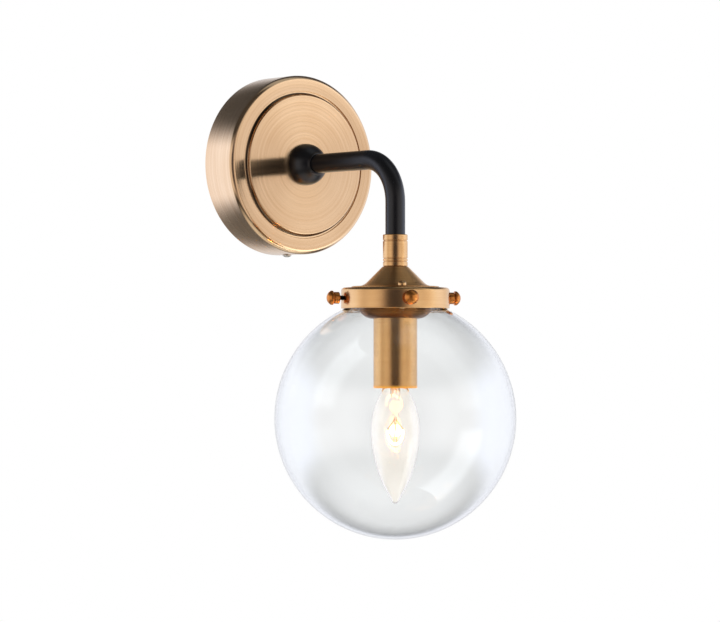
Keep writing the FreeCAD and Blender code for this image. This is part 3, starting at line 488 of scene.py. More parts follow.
    @staticmethod
    def copied(piece: bpy.types.Object, name: str, place: Matrix) -> bpy.types.Object:
        """Copy a piece with its own mesh into another place.

        Args:
            piece: What is copied.
            name: Name of the copy.
            place: Matrix that carries the piece to the copy's place.

        Returns:
            The copy.
        """
        Bench.alone(piece)
        bpy.ops.object.duplicate(linked=False)
        return Bench.settled(Bench.named(name), place)

    @staticmethod
    def from_solid(node: str, name: str, bevel: float = 0.0) -> bpy.types.Object:
        """Copy a solid of the frame, weld its loose triangles, ease its edges and shade it.

        Args:
            node: The solid's node.
            name: Name of the copy.
            bevel: Width of the eased edges in mm, or none.

        Returns:
            The copy.
        """
        weld, flat, sharp, smooth = 1e-6, 0.5, 50.0, 32.0
        piece = Bench.placed(name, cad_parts[node].data.copy())
        piece.data.name = name
        Bench.alone(piece)
        bpy.ops.object.mode_set(mode="EDIT")
        Bench.welded(weld)
        bpy.ops.mesh.dissolve_limited(angle_limit=math.radians(flat))
        bpy.ops.object.mode_set(mode="OBJECT")
        if bevel > 0:
            Bench.modified(piece, "BEVEL", width=bevel * MM, segments=2, limit_method="ANGLE",
                           angle_limit=math.radians(sharp))
        Bench.settled(piece, None, smooth)
        if bevel > 0:
            # the flat faces lead, so that the eased edges don't pull on their shading
            Bench.modified(piece, "WEIGHTED_NORMAL", keep_sharp=True, weight=100)
        return piece


# --------------------------------------------------------------------------------- finishes
def add(tree: bpy.types.NodeTree, kind: str, settings: dict | None = None,
        **links: bpy.types.Node | bpy.types.NodeSocket) -> bpy.types.Node:
    """Add a node with its settings and links.

    Args:
        tree: The node tree.
        kind: The node's type.
        settings: Values by attribute name, or by input name or number.
        **links: What feeds an input: an output socket, or a node for its first output.  The
            input is named with underscores for blanks, or numbered as in0, in1.

    Returns:
        The node.
    """
    node = tree.nodes.new(kind)
    for key, value in (settings or {}).items():
        if isinstance(key, str) and hasattr(node, key):
            setattr(node, key, value)
        else:
            node.inputs[key].default_value = value
    for key, source in links.items():
        number = key.removeprefix("in")
        target = int(number) if number.isdigit() else key.replace("_", " ")
        output = source.outputs[0] if isinstance(source, bpy.types.Node) else source
        tree.links.new(output, node.inputs[target])
    return node


def emptied(owner: bpy.types.Material | bpy.types.World) -> bpy.types.NodeTree:
    """Turn on the nodes of a material or world and clear them away.

    Args:
        owner: The material or world.

    Returns:
        Its empty tree.
    """
    owner.use_nodes = True
    owner.node_tree.nodes.clear()
    return owner.node_tree


class Grain(Enum):
    """How a surface was worked: detail and roughness of the noise that gives its pattern."""

    TURNED = (3.0, 0.6)
    CAST = (4.0, 0.55)
    PLAIN = (1.0, 0.55)


class Lathe(Enum):
    """The way that the lathe's axis points, by the letter of the frame's own axis."""

    UP = "Z"
    OUT = "Y"


@dataclass(frozen=True)
class Surface:
    """What every finish has: its material's name and the slot that it fills."""

    name: str
    slot: str

    def material(self) -> bpy.types.Material:
        """Find this finish's material, or make it the first time.

        Returns:
            The material.
        """
        material = bpy.data.materials.get(self.name)
        if material is None:
            material = bpy.data.materials.new(self.name)
            tree = emptied(material)
            where = add(tree, "ShaderNodeTexCoord").outputs["Object"]
            add(tree, "ShaderNodeOutputMaterial", Surface=self.shader(tree, where))
        return material

    def shader(self, tree: bpy.types.NodeTree, where: bpy.types.NodeSocket) -> bpy.types.Node:
        """Add the nodes of this kind of finish.

        Args:
            tree: The material's tree.
            where: Object coordinates in metres.

        Returns:
            The shader that goes to the output.
        """
        raise NotImplementedError


@dataclass(frozen=True)
class Finish(Surface):
    """A surface with a colour, a second tone in patches and a fine pattern, and where set, a ring
    of painted shade and a band of painted glow.
    """

    colour: str
    tone: str
    roughness: float
    metallic: float = 0.0
    anisotropy: float = 0.0
    grain: Grain = Grain.CAST
    spacing: float = 0.5
    relief: float = 0.2
    depth: float = 0.02
    patch: float = 14.0
    mottle: float = 0.5
    tone_from: float = 0.35
    tone_to: float = 0.65
    fine_share: float = 0.6
    uneven: float = 0.14
    lathe: Lathe = Lathe.UP
    brush_drift: float = 0.012
    # a ring of painted shade: its two radii, how far out along the axis it starts, its colour,
    # strength and solid core
    dark_from: float = 0.0
    dark_to: float = 0.0
    dark_past: float = 0.0
    dark_colour: str = "2E1A0C"
    dark_share: float = 0.85
    dark_core: float = 0.6
    # a band of painted glow: the drops where it starts and ends, its light's colour, and the darker
    # colour beneath
    glow_from: float = 0.0
    glow_to: float = 0.0
    glow_colour: str = "FFB040"
    glow_base: str = "6A3410"

    def shader(self, tree: bpy.types.NodeTree, where: bpy.types.NodeSocket) -> bpy.types.Node:
        """Add the nodes of a worked surface.

        Args:
            tree: The material's tree.
            where: Object coordinates in metres.

        Returns:
            The shader that goes to the output.
        """
        rings = self.rings(tree, where) if self.grain is Grain.TURNED else None
        pattern = self.pattern(tree, where, rings)
        patches = add(tree, "ShaderNodeTexNoise",
                      {"Scale": 1 / (self.patch * MM), "Detail": 2.0, "Roughness": 0.5},
                      Vector=where)
        fine = add(tree, "ShaderNodeMath", {"operation": "MULTIPLY", 1: self.fine_share},
                   in0=pattern)
        blend = add(tree, "ShaderNodeMath", {"operation": "MULTIPLY_ADD", 1: 1 - self.fine_share},
                    in0=patches, in2=fine)
        share = add(tree, "ShaderNodeMapRange",
                    {"From Min": self.tone_from, "From Max": self.tone_to, "To Min": 0.0,
                     "To Max": self.mottle}, Value=blend)
        colour = add(tree, "ShaderNodeMix",
                     {"data_type": "RGBA", 6: linear(self.colour), 7: linear(self.tone)},
                     in0=share).outputs[2]
        rough = add(tree, "ShaderNodeMapRange",
                    {"From Min": NOISE_LOW, "From Max": NOISE_HIGH,
                     "To Min": self.roughness * (1 - self.uneven),
                     "To Max": self.roughness * (1 + self.uneven)}, Value=blend)
        bump = add(tree, "ShaderNodeBump",
                   {"Strength": self.relief, "Distance": self.depth * MM}, Height=pattern)
        settings = {"Metallic": self.metallic, "Anisotropic": self.anisotropy}
        links = {"Base_Color": colour, "Roughness": rough, "Normal": bump}
        if self.anisotropy:
            # a quarter turn lays the streaks across the brush marks
            settings["Anisotropic Rotation"] = 0.25
            links["Tangent"] = add(tree, "ShaderNodeTangent",
                                   {"direction_type": "RADIAL", "axis": self.lathe.value})
        # painted shade: a dark ring mixed into the colour where a groove lies in shade
        if self.dark_to:
            links["Base_Color"] = self.painted_groove_shade(tree, rings, colour)
        # painted glow: the band gives its own orange light over a darker colour, standing in for
        # the bulb's light
        if self.glow_to:
            height = add(tree, "ShaderNodeSeparateXYZ", Vector=where).outputs["Z"]
            glow = add(tree, "ShaderNodeMapRange",
                       {"From Min": -self.glow_from * MM, "From Max": -self.glow_to * MM,
                        "To Min": 0.0, "To Max": 1.0}, Value=height)
            settings["Emission Color"] = linear(self.glow_colour)
            links["Emission_Strength"] = glow
            links["Base_Color"] = add(tree, "ShaderNodeMix",
                                      {"data_type": "RGBA", 7: linear(self.glow_base)},
                                      in0=glow, in6=colour).outputs[2]
        return add(tree, "ShaderNodeBsdfPrincipled", settings, **links)

    def painted_groove_shade(self, tree: bpy.types.NodeTree, rings: bpy.types.NodeSocket,
                colour: bpy.types.NodeSocket) -> bpy.types.NodeSocket:
        """Paint shade into the colour between two radii, on the outer side of the piece alone.

        Args:
            tree: The material's tree.
            rings: Distance from the axis and place along it.
            colour: The clean colour.

        Returns:
            The colour with its ring of painted shade.
        """
        place = add(tree, "ShaderNodeSeparateXYZ", Vector=rings)
        reach = (self.dark_to - self.dark_from) / 2 * MM
        off = add(tree, "ShaderNodeMath",
                  {"operation": "SUBTRACT", 1: self.dark_from * MM + reach},
                  in0=place.outputs["X"])
        away = add(tree, "ShaderNodeMath", {"operation": "ABSOLUTE"}, in0=off)
        ring = add(tree, "ShaderNodeMapRange",
                   {"From Min": reach * self.dark_core, "From Max": reach,
                    "To Min": self.dark_share, "To Max": 0.0}, Value=away)
        outside = add(tree, "ShaderNodeMath", {"operation": "LESS_THAN", 1: -self.dark_past * MM},
                      in0=place.outputs["Y"])
        share = add(tree, "ShaderNodeMath", {"operation": "MULTIPLY"}, in0=ring, in1=outside)
        return add(tree, "ShaderNodeMix", {"data_type": "RGBA", 7: linear(self.dark_colour)},
                   in0=share, in6=colour).outputs[2]

    def rings(self, tree: bpy.types.NodeTree, where: bpy.types.NodeSocket) -> bpy.types.NodeSocket:
        """Add the distance from the lathe's axis and the place along it.

        Args:
            tree: The material's tree.
            where: Object coordinates in metres.

        Returns:
            A vector: the distance, the place along the axis and zero.
        """
        out = self.lathe is Lathe.OUT
        centred = add(tree, "ShaderNodeMapping",
                      {"Location": (0, 0, 0) if out else (0, LAMP_OUT * MM, 0)}, Vector=where)
        split = add(tree, "ShaderNodeSeparateXYZ", Vector=centred)
        along, across = ("Y", "Z") if out else ("Z", "Y")
        flat = add(tree, "ShaderNodeCombineXYZ", X=split.outputs["X"], Y=split.outputs[across])
        radius = add(tree, "ShaderNodeVectorMath", {"operation": "LENGTH"}, in0=flat)
        return add(tree, "ShaderNodeCombineXYZ", X=radius.outputs["Value"],
                   Y=split.outputs[along]).outputs[0]

    def pattern(self, tree: bpy.types.NodeTree, where: bpy.types.NodeSocket,
                rings: bpy.types.NodeSocket | None) -> bpy.types.NodeSocket:
        """Add the fine pattern of the grain.

        Args:
            tree: The material's tree.
            where: Object coordinates in metres.
            rings: Distance from the axis and place along it, for what was turned.

        Returns:
            A value from 0 to 1.
        """
        spread = where
        if rings is not None:
            # brush marks run round the axis, so they change mostly along it and away from it
            spread = add(tree, "ShaderNodeVectorMath",
                         {"operation": "MULTIPLY_ADD", 1: (self.brush_drift,) * 3},
                         in0=where, in2=rings)
        detail, rough = self.grain.value
        return add(tree, "ShaderNodeTexNoise",
                   {"Scale": 1 / (self.spacing * MM), "Detail": detail, "Roughness": rough},
                   Vector=spread).outputs["Fac"]


@dataclass(frozen=True)
class ClearGlass(Surface):
    """Blown or drawn borosilicate glass; light for the things inside passes straight through."""

    tint: str
    gloss: float = 0.5
    index: float = 1.474
    wave: float = 0.0
    wave_size: float = 30.0
    wave_depth: float = 0.3
    # painted glow: light that the glass gives off itself, and its colour
    painted_glow: float = 0.0
    painted_glow_colour: str = "FFE9D2"
    edge: str = ""
    edge_from: float = 0.80
    edge_to: float = 0.97

    def shader(self, tree: bpy.types.NodeTree, where: bpy.types.NodeSocket) -> bpy.types.Node:
        """Add the nodes of clear glass.

        Args:
            tree: The material's tree.
            where: Object coordinates in metres.

        Returns:
            The shader that goes to the output.
        """
        ripple = add(tree, "ShaderNodeTexNoise",
                     {"Scale": 1 / (self.wave_size * MM), "Detail": 1.0}, Vector=where)
        bump = add(tree, "ShaderNodeBump",
                   {"Strength": self.wave, "Distance": self.wave_depth * MM}, Height=ripple)
        links = {"Normal": bump}
        if self.edge:
            # the way through the wall is longest at the outline
            weight = add(tree, "ShaderNodeLayerWeight", {"Blend": 0.5})
            rim = add(tree, "ShaderNodeMapRange",
                      {"From Min": self.edge_from, "From Max": self.edge_to},
                      Value=weight.outputs["Facing"])
            links["Base_Color"] = add(
                tree, "ShaderNodeMix",
                {"data_type": "RGBA", 6: linear(self.tint), 7: linear(self.edge)},
                in0=rim).outputs[2]
        # the emission is painted glow on the glass, for the glare of the hot coil
        glass = add(tree, "ShaderNodeBsdfPrincipled",
                    {"Base Color": linear(self.tint), "Roughness": 0.0, "IOR": self.index,
                     "Specular IOR Level": self.gloss, "Transmission Weight": 1.0,
                     "Emission Color": linear(self.painted_glow_colour), "Emission Strength": self.painted_glow},
                    **links)
        # shadow rays and soft light pass, so that the bulb lights the cup and the canopy
        passing = add(tree, "ShaderNodeBsdfTransparent", {"Color": linear(self.tint)})
        path = add(tree, "ShaderNodeLightPath")
        either = add(tree, "ShaderNodeMath", {"operation": "MAXIMUM"},
                     in0=path.outputs["Is Shadow Ray"], in1=path.outputs["Is Diffuse Ray"])
        return add(tree, "ShaderNodeMixShader", in0=either, in1=glass, in2=passing)


@dataclass(frozen=True)
class Glow(Surface):
    """A hot coil that gives its own light."""

    colour: str
    strength: float
    uneven: float = 0.3
    spacing: float = 0.9

    def material(self) -> bpy.types.Material:
        """Find or make the material; the lamp in the bulb lights the room, and not the coil.

        Returns:
            The material.
        """
        material = super().material()
        material.cycles.emission_sampling = "NONE"
        return material

    def shader(self, tree: bpy.types.NodeTree, where: bpy.types.NodeSocket) -> bpy.types.Node:
        """Add the nodes of a glowing wire.

        Args:
            tree: The material's tree.
            where: Object coordinates in metres.

        Returns:
            The shader that goes to the output.
        """
        noise = add(tree, "ShaderNodeTexNoise",
                    {"Scale": 1 / (self.spacing * MM), "Detail": 1.0}, Vector=where)
        heat = add(tree, "ShaderNodeMapRange",
                   {"From Min": NOISE_LOW, "From Max": NOISE_HIGH,
                    "To Min": self.strength * (1 - self.uneven),
                    "To Max": self.strength * (1 + self.uneven)}, Value=noise)
        return add(tree, "ShaderNodeBsdfPrincipled",
                   {"Base Color": linear(self.colour), "Roughness": 0.5,
                    "Emission Color": linear(self.colour)}, Emission_Strength=heat)


# satin brass plate brushed while it spins: fine rings, drawn coarser than the real ones so that
# they show, a pale gold with long streaks of light, and a ring of painted shade at the foot of the
# step
SPUN_BRASS = Finish("spun_satin_brass", "canopy_brass", "E8C8A0", "CDA578", 0.125, 1.0, 1.0,
                    Grain.TURNED, spacing=1.5, relief=1.0, depth=0.055, patch=40.0, mottle=0.7,
                    lathe=Lathe.OUT, dark_from=45.55, dark_to=47.4, dark_past=28.05)
# lacquered brass, polished round on the lathe: redder, with a soft mirror
LATHE_BRASS = Finish("lacquered_lathe_brass", "fitter_brass", "E3B77F", "CE9C63", 0.22, 1.0, 0.5,
                     Grain.TURNED, spacing=0.7, relief=0.22, patch=12.0)
# the cup is the same brass; the last two millimetres of its lip carry a painted glow, an orange
# emission over a darker colour, for the bulb's light from within
CUP_BRASS = Finish("lacquered_cup_brass", "fitter_brass", "E8B97C", "D09A5C", 0.19, 1.0, 0.5,
                   Grain.TURNED, spacing=0.7, relief=0.22, patch=12.0,
                   glow_from=143.2, glow_to=145.2)
# the cap was brushed harder before it was lacquered, so it smears what it mirrors up and down
CAP_BRASS = Finish("brushed_cap_brass", "fitter_brass", "DCAE74", "C2925A", 0.38, 1.0, 0.95,
                   Grain.TURNED, spacing=0.7, relief=0.4, patch=12.0, mottle=0.6)
# the shield sits over the lamp, under the ring; its dull dark brown colour is painted shade
SHIELD_BRASS = Finish("shade_darkened_brass", "fitter_brass", "8E5C30", "6B4020", 0.36, 1.0, 0.5,
                      Grain.TURNED, spacing=0.9, relief=0.3, patch=7.0, mottle=0.8)
# small turned knobs in satin copper-brass: a dull, reddish gloss
KNOB_BRASS = Finish("satin_copper_brass", "knob_brass", "DD9048", "B26A30", 0.33, 1.0,
                    spacing=0.8, relief=0.18, patch=4.0, mottle=0.6)
# powder coat baked satin black: a slight orange peel breaks up its highlights
BLACK_COAT = Finish("satin_black_powder_coat", "black_enamel", "060608", "09090B", 0.34,
                    spacing=1.1, relief=0.35, patch=18.0)
# steel dipped in black oxide: dark, a little metallic
BLACK_OXIDE = Finish("black_oxide_steel", "blackened_steel", "17161A", "26242A", 0.38, 0.7,
                     patch=3.0)
# nickel plated bright over brass: a warm grey mirror, barely hazy
NICKEL = Finish("bright_nickel_plate", "nickel_plate", "D8D3C8", "BDB6A8", 0.24, 1.0,
                spacing=0.9, relief=0.1, patch=5.0)
# cold-rolled steel with a zinc flash: cool grey with cloudy patches
ZINC = Finish("zinc_plated_steel", "zinc_steel", "B9BBBB", "989C9F", 0.34, 1.0,
              spacing=1.6, relief=0.25, patch=9.0, mottle=0.8)
# stamped brass sheet without lacquer: a dull yellow that has begun to tarnish
RAW_BRASS = Finish("plain_stamped_brass", "bare_brass", "C9A55C", "A8823F", 0.30, 1.0,
                   spacing=0.8, patch=6.0)
# nylon moulded in white: off-white with a half gloss
WHITE_NYLON = Finish("moulded_white_nylon", "white_plastic", "DEDCD4", "D2CFC5", 0.36,
                     spacing=1.0, relief=0.25, patch=10.0)
# phenolic resin pressed hot: near black, with a soft sheen and a trace of its filler
PHENOLIC = Finish("moulded_black_phenolic", "black_phenolic", "161515", "1F1D1C", 0.40,
                  spacing=0.8, relief=0.3, patch=8.0)
# nylon rod, turned and not dyed: milky and waxy
TIP_NYLON = Finish("natural_nylon", "nylon", "D9D4C4", "CFC9B7", 0.42, spacing=0.6)
# PVC drawn over a wire: even colour, nearly matt
BLACK_PVC = Finish("black_pvc_sleeve", "black_sleeve", "111112", "1A1A1C", 0.45,
                   spacing=1.2, relief=0.3)
WHITE_PVC = Finish("white_pvc_sleeve", "white_sleeve", "DAD9D4", "CCCAC2", 0.45,
                   spacing=1.2, relief=0.3)
GREEN_PVC = Finish("green_pvc_sleeve", "green_sleeve", "2C6B3A", "225A2F", 0.45,
                   spacing=1.2, relief=0.3)
# glass melted into the bulb's cap: black, smooth and glossy
BLACK_GLASS = Finish("black_insulator_glass", "dark_glass", "0A0A0C", "121214", 0.08,
                     grain=Grain.PLAIN)
# drawn nickel wire, tinged by the flame that sealed it in: a warm grey, smooth
LEAD_WIRE = Finish("nickel_lead_wire", "lead_metal", "B8A58A", "9C8A70", 0.25, 1.0,
                   grain=Grain.PLAIN)
# borosilicate, blown thin: water clear, hardly rippled, and a little greyer at its outline
BLOWN_GLASS = ClearGlass("blown_clear_glass", "clear_glass", "F9FAFA", gloss=0.13, wave=0.05,
                         edge="EFF2F1")
# the bulb's tube, drawn and closed in a flame: wavier, grey-green at its outline, and a painted
# glow, a faint warm emission of the glass
BULB_GLASS = ClearGlass("drawn_bulb_glass", "bulb_glass", "FCFBF8", wave=0.12, wave_size=9.0,
                        painted_glow=0.055, edge="A9B0A6")
# tungsten wire at a dimmed lamp's heat: amber, brighter on some coils than on others
HOT_FILAMENT = Glow("hot_tungsten", "filament", "FFC26A", 30.0)


# ----------------------------------------------------------------------------- sub-assemblies
def fitted(piece: bpy.types.Object, finish: Surface, body: str, *nodes: str) -> None:
    """Dress a piece, hang it on its body and let it stand for its solids.

    Args:
        piece: The finished piece.
        finish: What it is made of.
        body: The body that it moves with.
        *nodes: The solids that it replaces.
    """
    piece.data.materials.clear()
    piece.data.materials.append(finish.material())
    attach(piece, body)
    if nodes:
        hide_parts(*nodes)
    LOG.info("%s rides on %s, %d faces", piece.name, body, len(piece.data.polygons))


def dressed(nodes: Iterable[str], ending: str, finish: Surface, bevel: float = 0.0,
            body: str = "fixture") -> None:
    """Dress an eased copy of each solid, named after it.

    Args:
        nodes: The solids.
        ending: What is added to a solid's name.
        finish: What they are made of.
        bevel: Width of the eased edges in mm, or none.
        body: The body that they move with.
    """
    for node in nodes:
        fitted(Bench.from_solid(node, node + ending, bevel), finish, body, node)


@dataclass
class Canopy:
    """The stepped spun canopy with its nickel set screw."""

    radius: float = 58.5
    depth: float = 29.0
    wall: float = 1.2
    edge_round: float = 3.0
    step_radius: float = 45.6
    groove: float = 2.6
    groove_depth: float = 0.9
    cove: float = 2.3
    cove_in: float = 0.9
    cove_rise: float = 0.7
    screw_out: float = 11.0
    screw_head: float = 3.0
    screw_rise: float = 1.6
    screw_brim: float = 0.35
    screw_shank: float = 1.95
    screw_length: float = 8.5
    driver_width: float = 0.8
    driver_height: float = 1.4

    def shell(self) -> bpy.types.Object:
        """Spin the shell: rolled edge, cove, raised disc and open back.

        Returns:
            The shell.
        """
        r, d, t = self.radius, self.depth, self.wall
        step, out, hole = self.step_radius, DISC_OUT, NIPPLE_HOLE
        edge, floor = step + self.groove, d - self.groove_depth
        cove = arc_between((edge - self.cove_in, floor), (step, d + self.cove_rise), -self.cove, 9)
        outside = [Corner(r, 0, 0.25), Corner(r, d, self.edge_round), Corner(edge, d, 0.15),
                   Corner(edge - 0.15, floor, 0.2), *cove, Corner(step, out, 0.6),
                   Corner(hole, out)]
        inside = [Corner(hole, out - t), Corner(step - t, out - t), Corner(step - t, d - t),
                  Corner(r - t, d - t, self.edge_round - t), Corner(r - t, 0, 0.25)]
        return Bench.turned("canopy_shell", rounded(outside + inside, 7), OUTWARDS, 192)

    def set_screw(self) -> bpy.types.Object:
        """Turn the round-headed screw under the canopy and cut its driver slot.

        Returns:
            The screw.
        """
        head, rise, shank = self.screw_head, self.screw_rise, self.screw_shank
        outline = [Corner(0, -self.screw_length), Corner(shank, -self.screw_length, 0.3),
                   Corner(shank, 0), Corner(head, 0, 0.15),
                   *dome(head, rise * self.screw_brim, rise)]
        screw = Bench.turned("set_screw", rounded(outline), UPRIGHT, 48)
        size = (head * 3, self.driver_width, self.driver_height)
        Bench.cut(screw, [Bench.cutter_box(size, (0, 0, rise))])
        return Bench.settled(screw, Axis((0, -self.screw_out, -self.radius), (0, 0, -1)).matrix())

    def build(self) -> None:
        """Make the canopy and its screw."""
        fitted(self.shell(), SPUN_BRASS, "fixture", "canopy")
        fitted(self.set_screw(), NICKEL, "fixture", "canopy_set_screw")


@dataclass
class WallWorks:
    """What the canopy hides: bracket, fastenings, terminal block and wires."""

    steel_bevel: float = 0.15
    nylon_bevel: float = 0.25
    steel: tuple[str, ...] = ("wall_bracket", "canopy_hook", "ground_screw",
                              "terminal_block_screw", "terminal_clamp_screws", "arm_nipple",
                              "arm_washer", "arm_lock_nut")
    brass: tuple[str, ...] = ("earth_lug", "earth_tag")
    nylon: tuple[str, ...] = ("terminal_block", "wire_bush")
    wires: dict[str, Finish] = field(default_factory=lambda: {
        "line_wire": BLACK_PVC, "neutral_wire": WHITE_PVC, "earth_wire": GREEN_PVC})

    def build(self) -> None:
        """Ease and dress each hidden solid."""
        dressed(self.steel, "_steel", ZINC, self.steel_bevel)
        dressed(self.brass, "_brass", RAW_BRASS)
        dressed(self.nylon, "_nylon", WHITE_NYLON, self.nylon_bevel)
        for node, sleeve in self.wires.items():
            dressed([node], "_sleeve", sleeve)


@dataclass
class Arm:
    """The black arm: half ball with a collar, and a bent tube."""

    ball: float = 13.6
    foot: float = 0.6
    collar: float = 7.3
    collar_height: float = 1.4
    fillet: float = 1.3
    seat: float = 8.0
    wall: float = 1.2
    bend: float = 28.0
    end_drop: float = 57.4

    def base_ball(self) -> bpy.types.Object:
        """Turn the half ball, with a soft fillet where its collar rises.

        Returns:
            The ball.
        """
        ball, collar, fillet, foot = self.ball, self.collar, self.fillet, self.foot
        top = foot + math.sqrt(ball ** 2 - collar ** 2) + self.collar_height
        lift = foot + math.sqrt((ball + fillet) ** 2 - (collar + fillet) ** 2)
        start = math.degrees(math.atan2(lift - foot, collar + fillet))
        tube = TUBE_RADIUS + TUBE_PLAY
        outline = [Corner(NIPPLE_HOLE, 0), Corner(ball, 0, 0.2),
                   *arc((0, foot), ball, 0, start, 5),
                   *arc((collar + fillet, lift), fillet, 180 + start, 180, 15),
                   Corner(collar, top, 0.45), Corner(tube, top), Corner(tube, self.seat),
                   Corner(NIPPLE_HOLE, self.seat)]
        return Bench.turned("arm_ball", rounded(outline), Axis((0, -DISC_OUT, 0), (0, -1, 0)))

    def bent_tube(self) -> bpy.types.Object:
        """Make the tube: a ring extruded out, spun round the bend and extruded down.

        Returns:
            The tube.
        """
        start = (DISC_OUT + self.seat) * MM
        corner = (LAMP_OUT - self.bend) * MM
        straight = (self.end_drop - self.bend) * MM
        Bench.clear()
        bpy.ops.mesh.primitive_circle_add(vertices=64, radius=TUBE_RADIUS * MM,
                                          location=(0, -start, 0), rotation=(math.pi / 2, 0, 0))
        piece = Bench.named("arm_bent_tube")
        Bench.grounded()
        bpy.ops.object.mode_set(mode="EDIT")
        bpy.ops.mesh.select_all(action="SELECT")
        bpy.ops.mesh.extrude_region_move(TRANSFORM_OT_translate={"value": (0, start - corner, 0)})
        bpy.ops.mesh.spin(steps=28, angle=-math.pi / 2, center=(0, -corner, -self.bend * MM),
                          axis=(1, 0, 0))
        bpy.ops.mesh.extrude_region_move(TRANSFORM_OT_translate={"value": (0, 0, -straight)})
        Bench.closed()
        Bench.modified(piece, "SOLIDIFY", thickness=self.wall * MM, offset=-1.0,
                       use_even_offset=True)
        return Bench.settled(piece)

    def build(self) -> None:
        """Make the ball and the tube."""
        fitted(self.base_ball(), BLACK_COAT, "fixture", "arm_base_ball")
        fitted(self.bent_tube(), BLACK_COAT, "fixture", "arm_tube")


@dataclass
class Fitter:
    """Neck, flared cap, ring, heat shield and what clamps them."""

    neck_drop: float = 48.4
    neck_length: float = 19.9
    neck_radius: float = 7.85
    neck_stop: float = 57.4
    stop_hole: float = 3.9
    stop_wall: float = 2.0
    grooves: tuple[float, ...] = (3.6, 14.9, 16.7)
    groove_width: float = 0.7
    groove_depth: float = 0.45
    groove_slope: float = 0.12
    cone_height: float = 13.6
    cone_crown: float = 6.5
    cone_shoulder: float = 3.0
    cone_flare: float = 9.0
    cone_foot: float = 27.6
    cone_wall: float = 0.8
    cone_inset: float = 0.7
    flare_inset: float = 0.5
    flare_inner: float = 0.45
    ring_height: float = 13.2
    ring_wall: float = 1.2
    dish_gap: float = 11.9
    dish_wall: float = 0.8
    dish_depth: float = 5.6
    dish_hole: float = 14.0
    dish_flat: float = 23.0
    dish_rim: float = 26.6
    stud_hole: float = 1.7
    plate_screw_circle: float = 25.0
    plate_screw_angle: float = 5.2
    plate_screw_head: float = 2.6
    plate_screw_rise: float = 3.2
    plate_screw_shank: float = 1.25
    plate_screw_length: float = 15.7
    driver_span: float = 1.3
    driver_width: float = 0.75
    driver_height: float = 1.8
    steel: tuple[str, ...] = ("lower_nipple", "shield_spacers", "fitter_washer", "fitter_nut")
    bevel: float = 0.1

    @property
    def cone_top(self) -> float:
        """Return the drop of the neck's lower end, where the cap starts."""
        return self.neck_drop + self.neck_length

    @property
    def ring_top(self) -> float:
        """Return the drop of the ring's flat top."""
        return self.cone_top + self.cone_height

    def coupler(self) -> bpy.types.Object:
        """Turn the neck sleeve with its three grooves.

        Returns:
            The sleeve.
        """
        r, deep, slope = self.neck_radius, self.neck_radius - self.groove_depth, self.groove_slope
        top, low, stop = -self.neck_drop, -self.cone_top, -self.neck_stop
        tube = TUBE_RADIUS + TUBE_PLAY
        outline = [Corner(tube, top, 0.1), Corner(r, top, 0.5)]
        for below in self.grooves:
            start, end = top - below, top - below - self.groove_width
            outline += [Corner(r, start, 0.18), Corner(deep, start - slope, 0.1),
                        Corner(deep, end + slope, 0.1), Corner(r, end, 0.18)]
        outline += [Corner(r, low, 0.25), Corner(NIPPLE_HOLE, low),
                    Corner(NIPPLE_HOLE, stop - self.stop_wall),
                    Corner(self.stop_hole, stop - self.stop_wall), Corner(self.stop_hole, stop),
                    Corner(tube, stop)]
        return Bench.turned("neck_sleeve", rounded(outline, 20), LAMP, 96, 50)

    def cap(self) -> bpy.types.Object:
        """Turn the flared cap: crown, flank and foot flange.

        Returns:
            The cap.
        """
        wall, top, hole, crown = self.cone_wall, -self.cone_top, NIPPLE_HOLE, self.cone_crown
        under, flange = -self.ring_top, -(self.ring_top - wall)
        bend, flare, inset = self.cone_shoulder, self.cone_flare, self.cone_inset
        low_r, low_z = crown + bend * DIAGONAL, top - bend + bend * DIAGONAL
        join = flange + flare * (1 - DIAGONAL)
        foot_r = low_r + (low_z - join)
        shoulder = arc_between((crown, top), (low_r, low_z), -bend, 9)
        foot = arc_between((foot_r, join), (foot_r + flare * DIAGONAL, flange), flare, 6)
        inner = [Corner(self.cone_foot, flange, 0.2), Corner(self.cone_foot, under),
                 Corner(foot_r + flare * self.flare_inner, under),
                 Corner(foot_r - inset, join - self.flare_inset),
                 Corner(low_r - inset, low_z - inset), Corner(crown, top - wall),
                 Corner(hole, top - wall)]
        outline = [Corner(hole, top), *shoulder, *foot, *inner]
        return Bench.turned("flared_cap", rounded(outline), LAMP, 128)

    def ring(self) -> bpy.types.Object:
        """Turn the ring that holds the globe and drill it for the thumbscrews' studs.

        Returns:
            The ring.
        """
        r, t, hole = RING_RADIUS, self.ring_wall, NIPPLE_HOLE
        top, low = -self.ring_top, -(self.ring_top + self.ring_height)
        outline = [Corner(hole, top), Corner(r, top, 2.2), Corner(r, low, 0.45),
                   Corner(r - t, low, 0.3), Corner(r - t, top - t, 1.0), Corner(hole, top - t)]
        rim = Bench.turned("fitter_rim", rounded(outline), LAMP, 160)
        Bench.cut(rim, [Bench.cutter_rod(self.stud_hole, 4 * t, screw_axis(quarter, r - t / 2))
                        for quarter in range(4)])
        return Bench.settled(rim)

    def shield(self) -> bpy.types.Object:
        """Turn the heat shield dish that closes the globe's mouth round the cup.

        Returns:
            The dish.
        """
        top, wall = -(self.ring_top + self.ring_wall + self.dish_gap), self.dish_wall
        deep, hole, flat, rim = self.dish_depth, self.dish_hole, self.dish_flat, self.dish_rim
        bowl = bow(flat - hole, deep)
        inner = bowl - wall
        lip = hole + math.sqrt(inner ** 2 - (bowl - deep - wall) ** 2)
        under = arc_between((hole, top - deep - wall), (flat, top - wall), bowl, 6)
        over = arc_between((lip, top), (hole, top - deep), -inner, 6)
        outline = [*under, Corner(rim, top - wall, 0.3), Corner(rim, top, 0.3), *over]
        return Bench.turned("heat_shield_dish", rounded(outline), LAMP, 128)

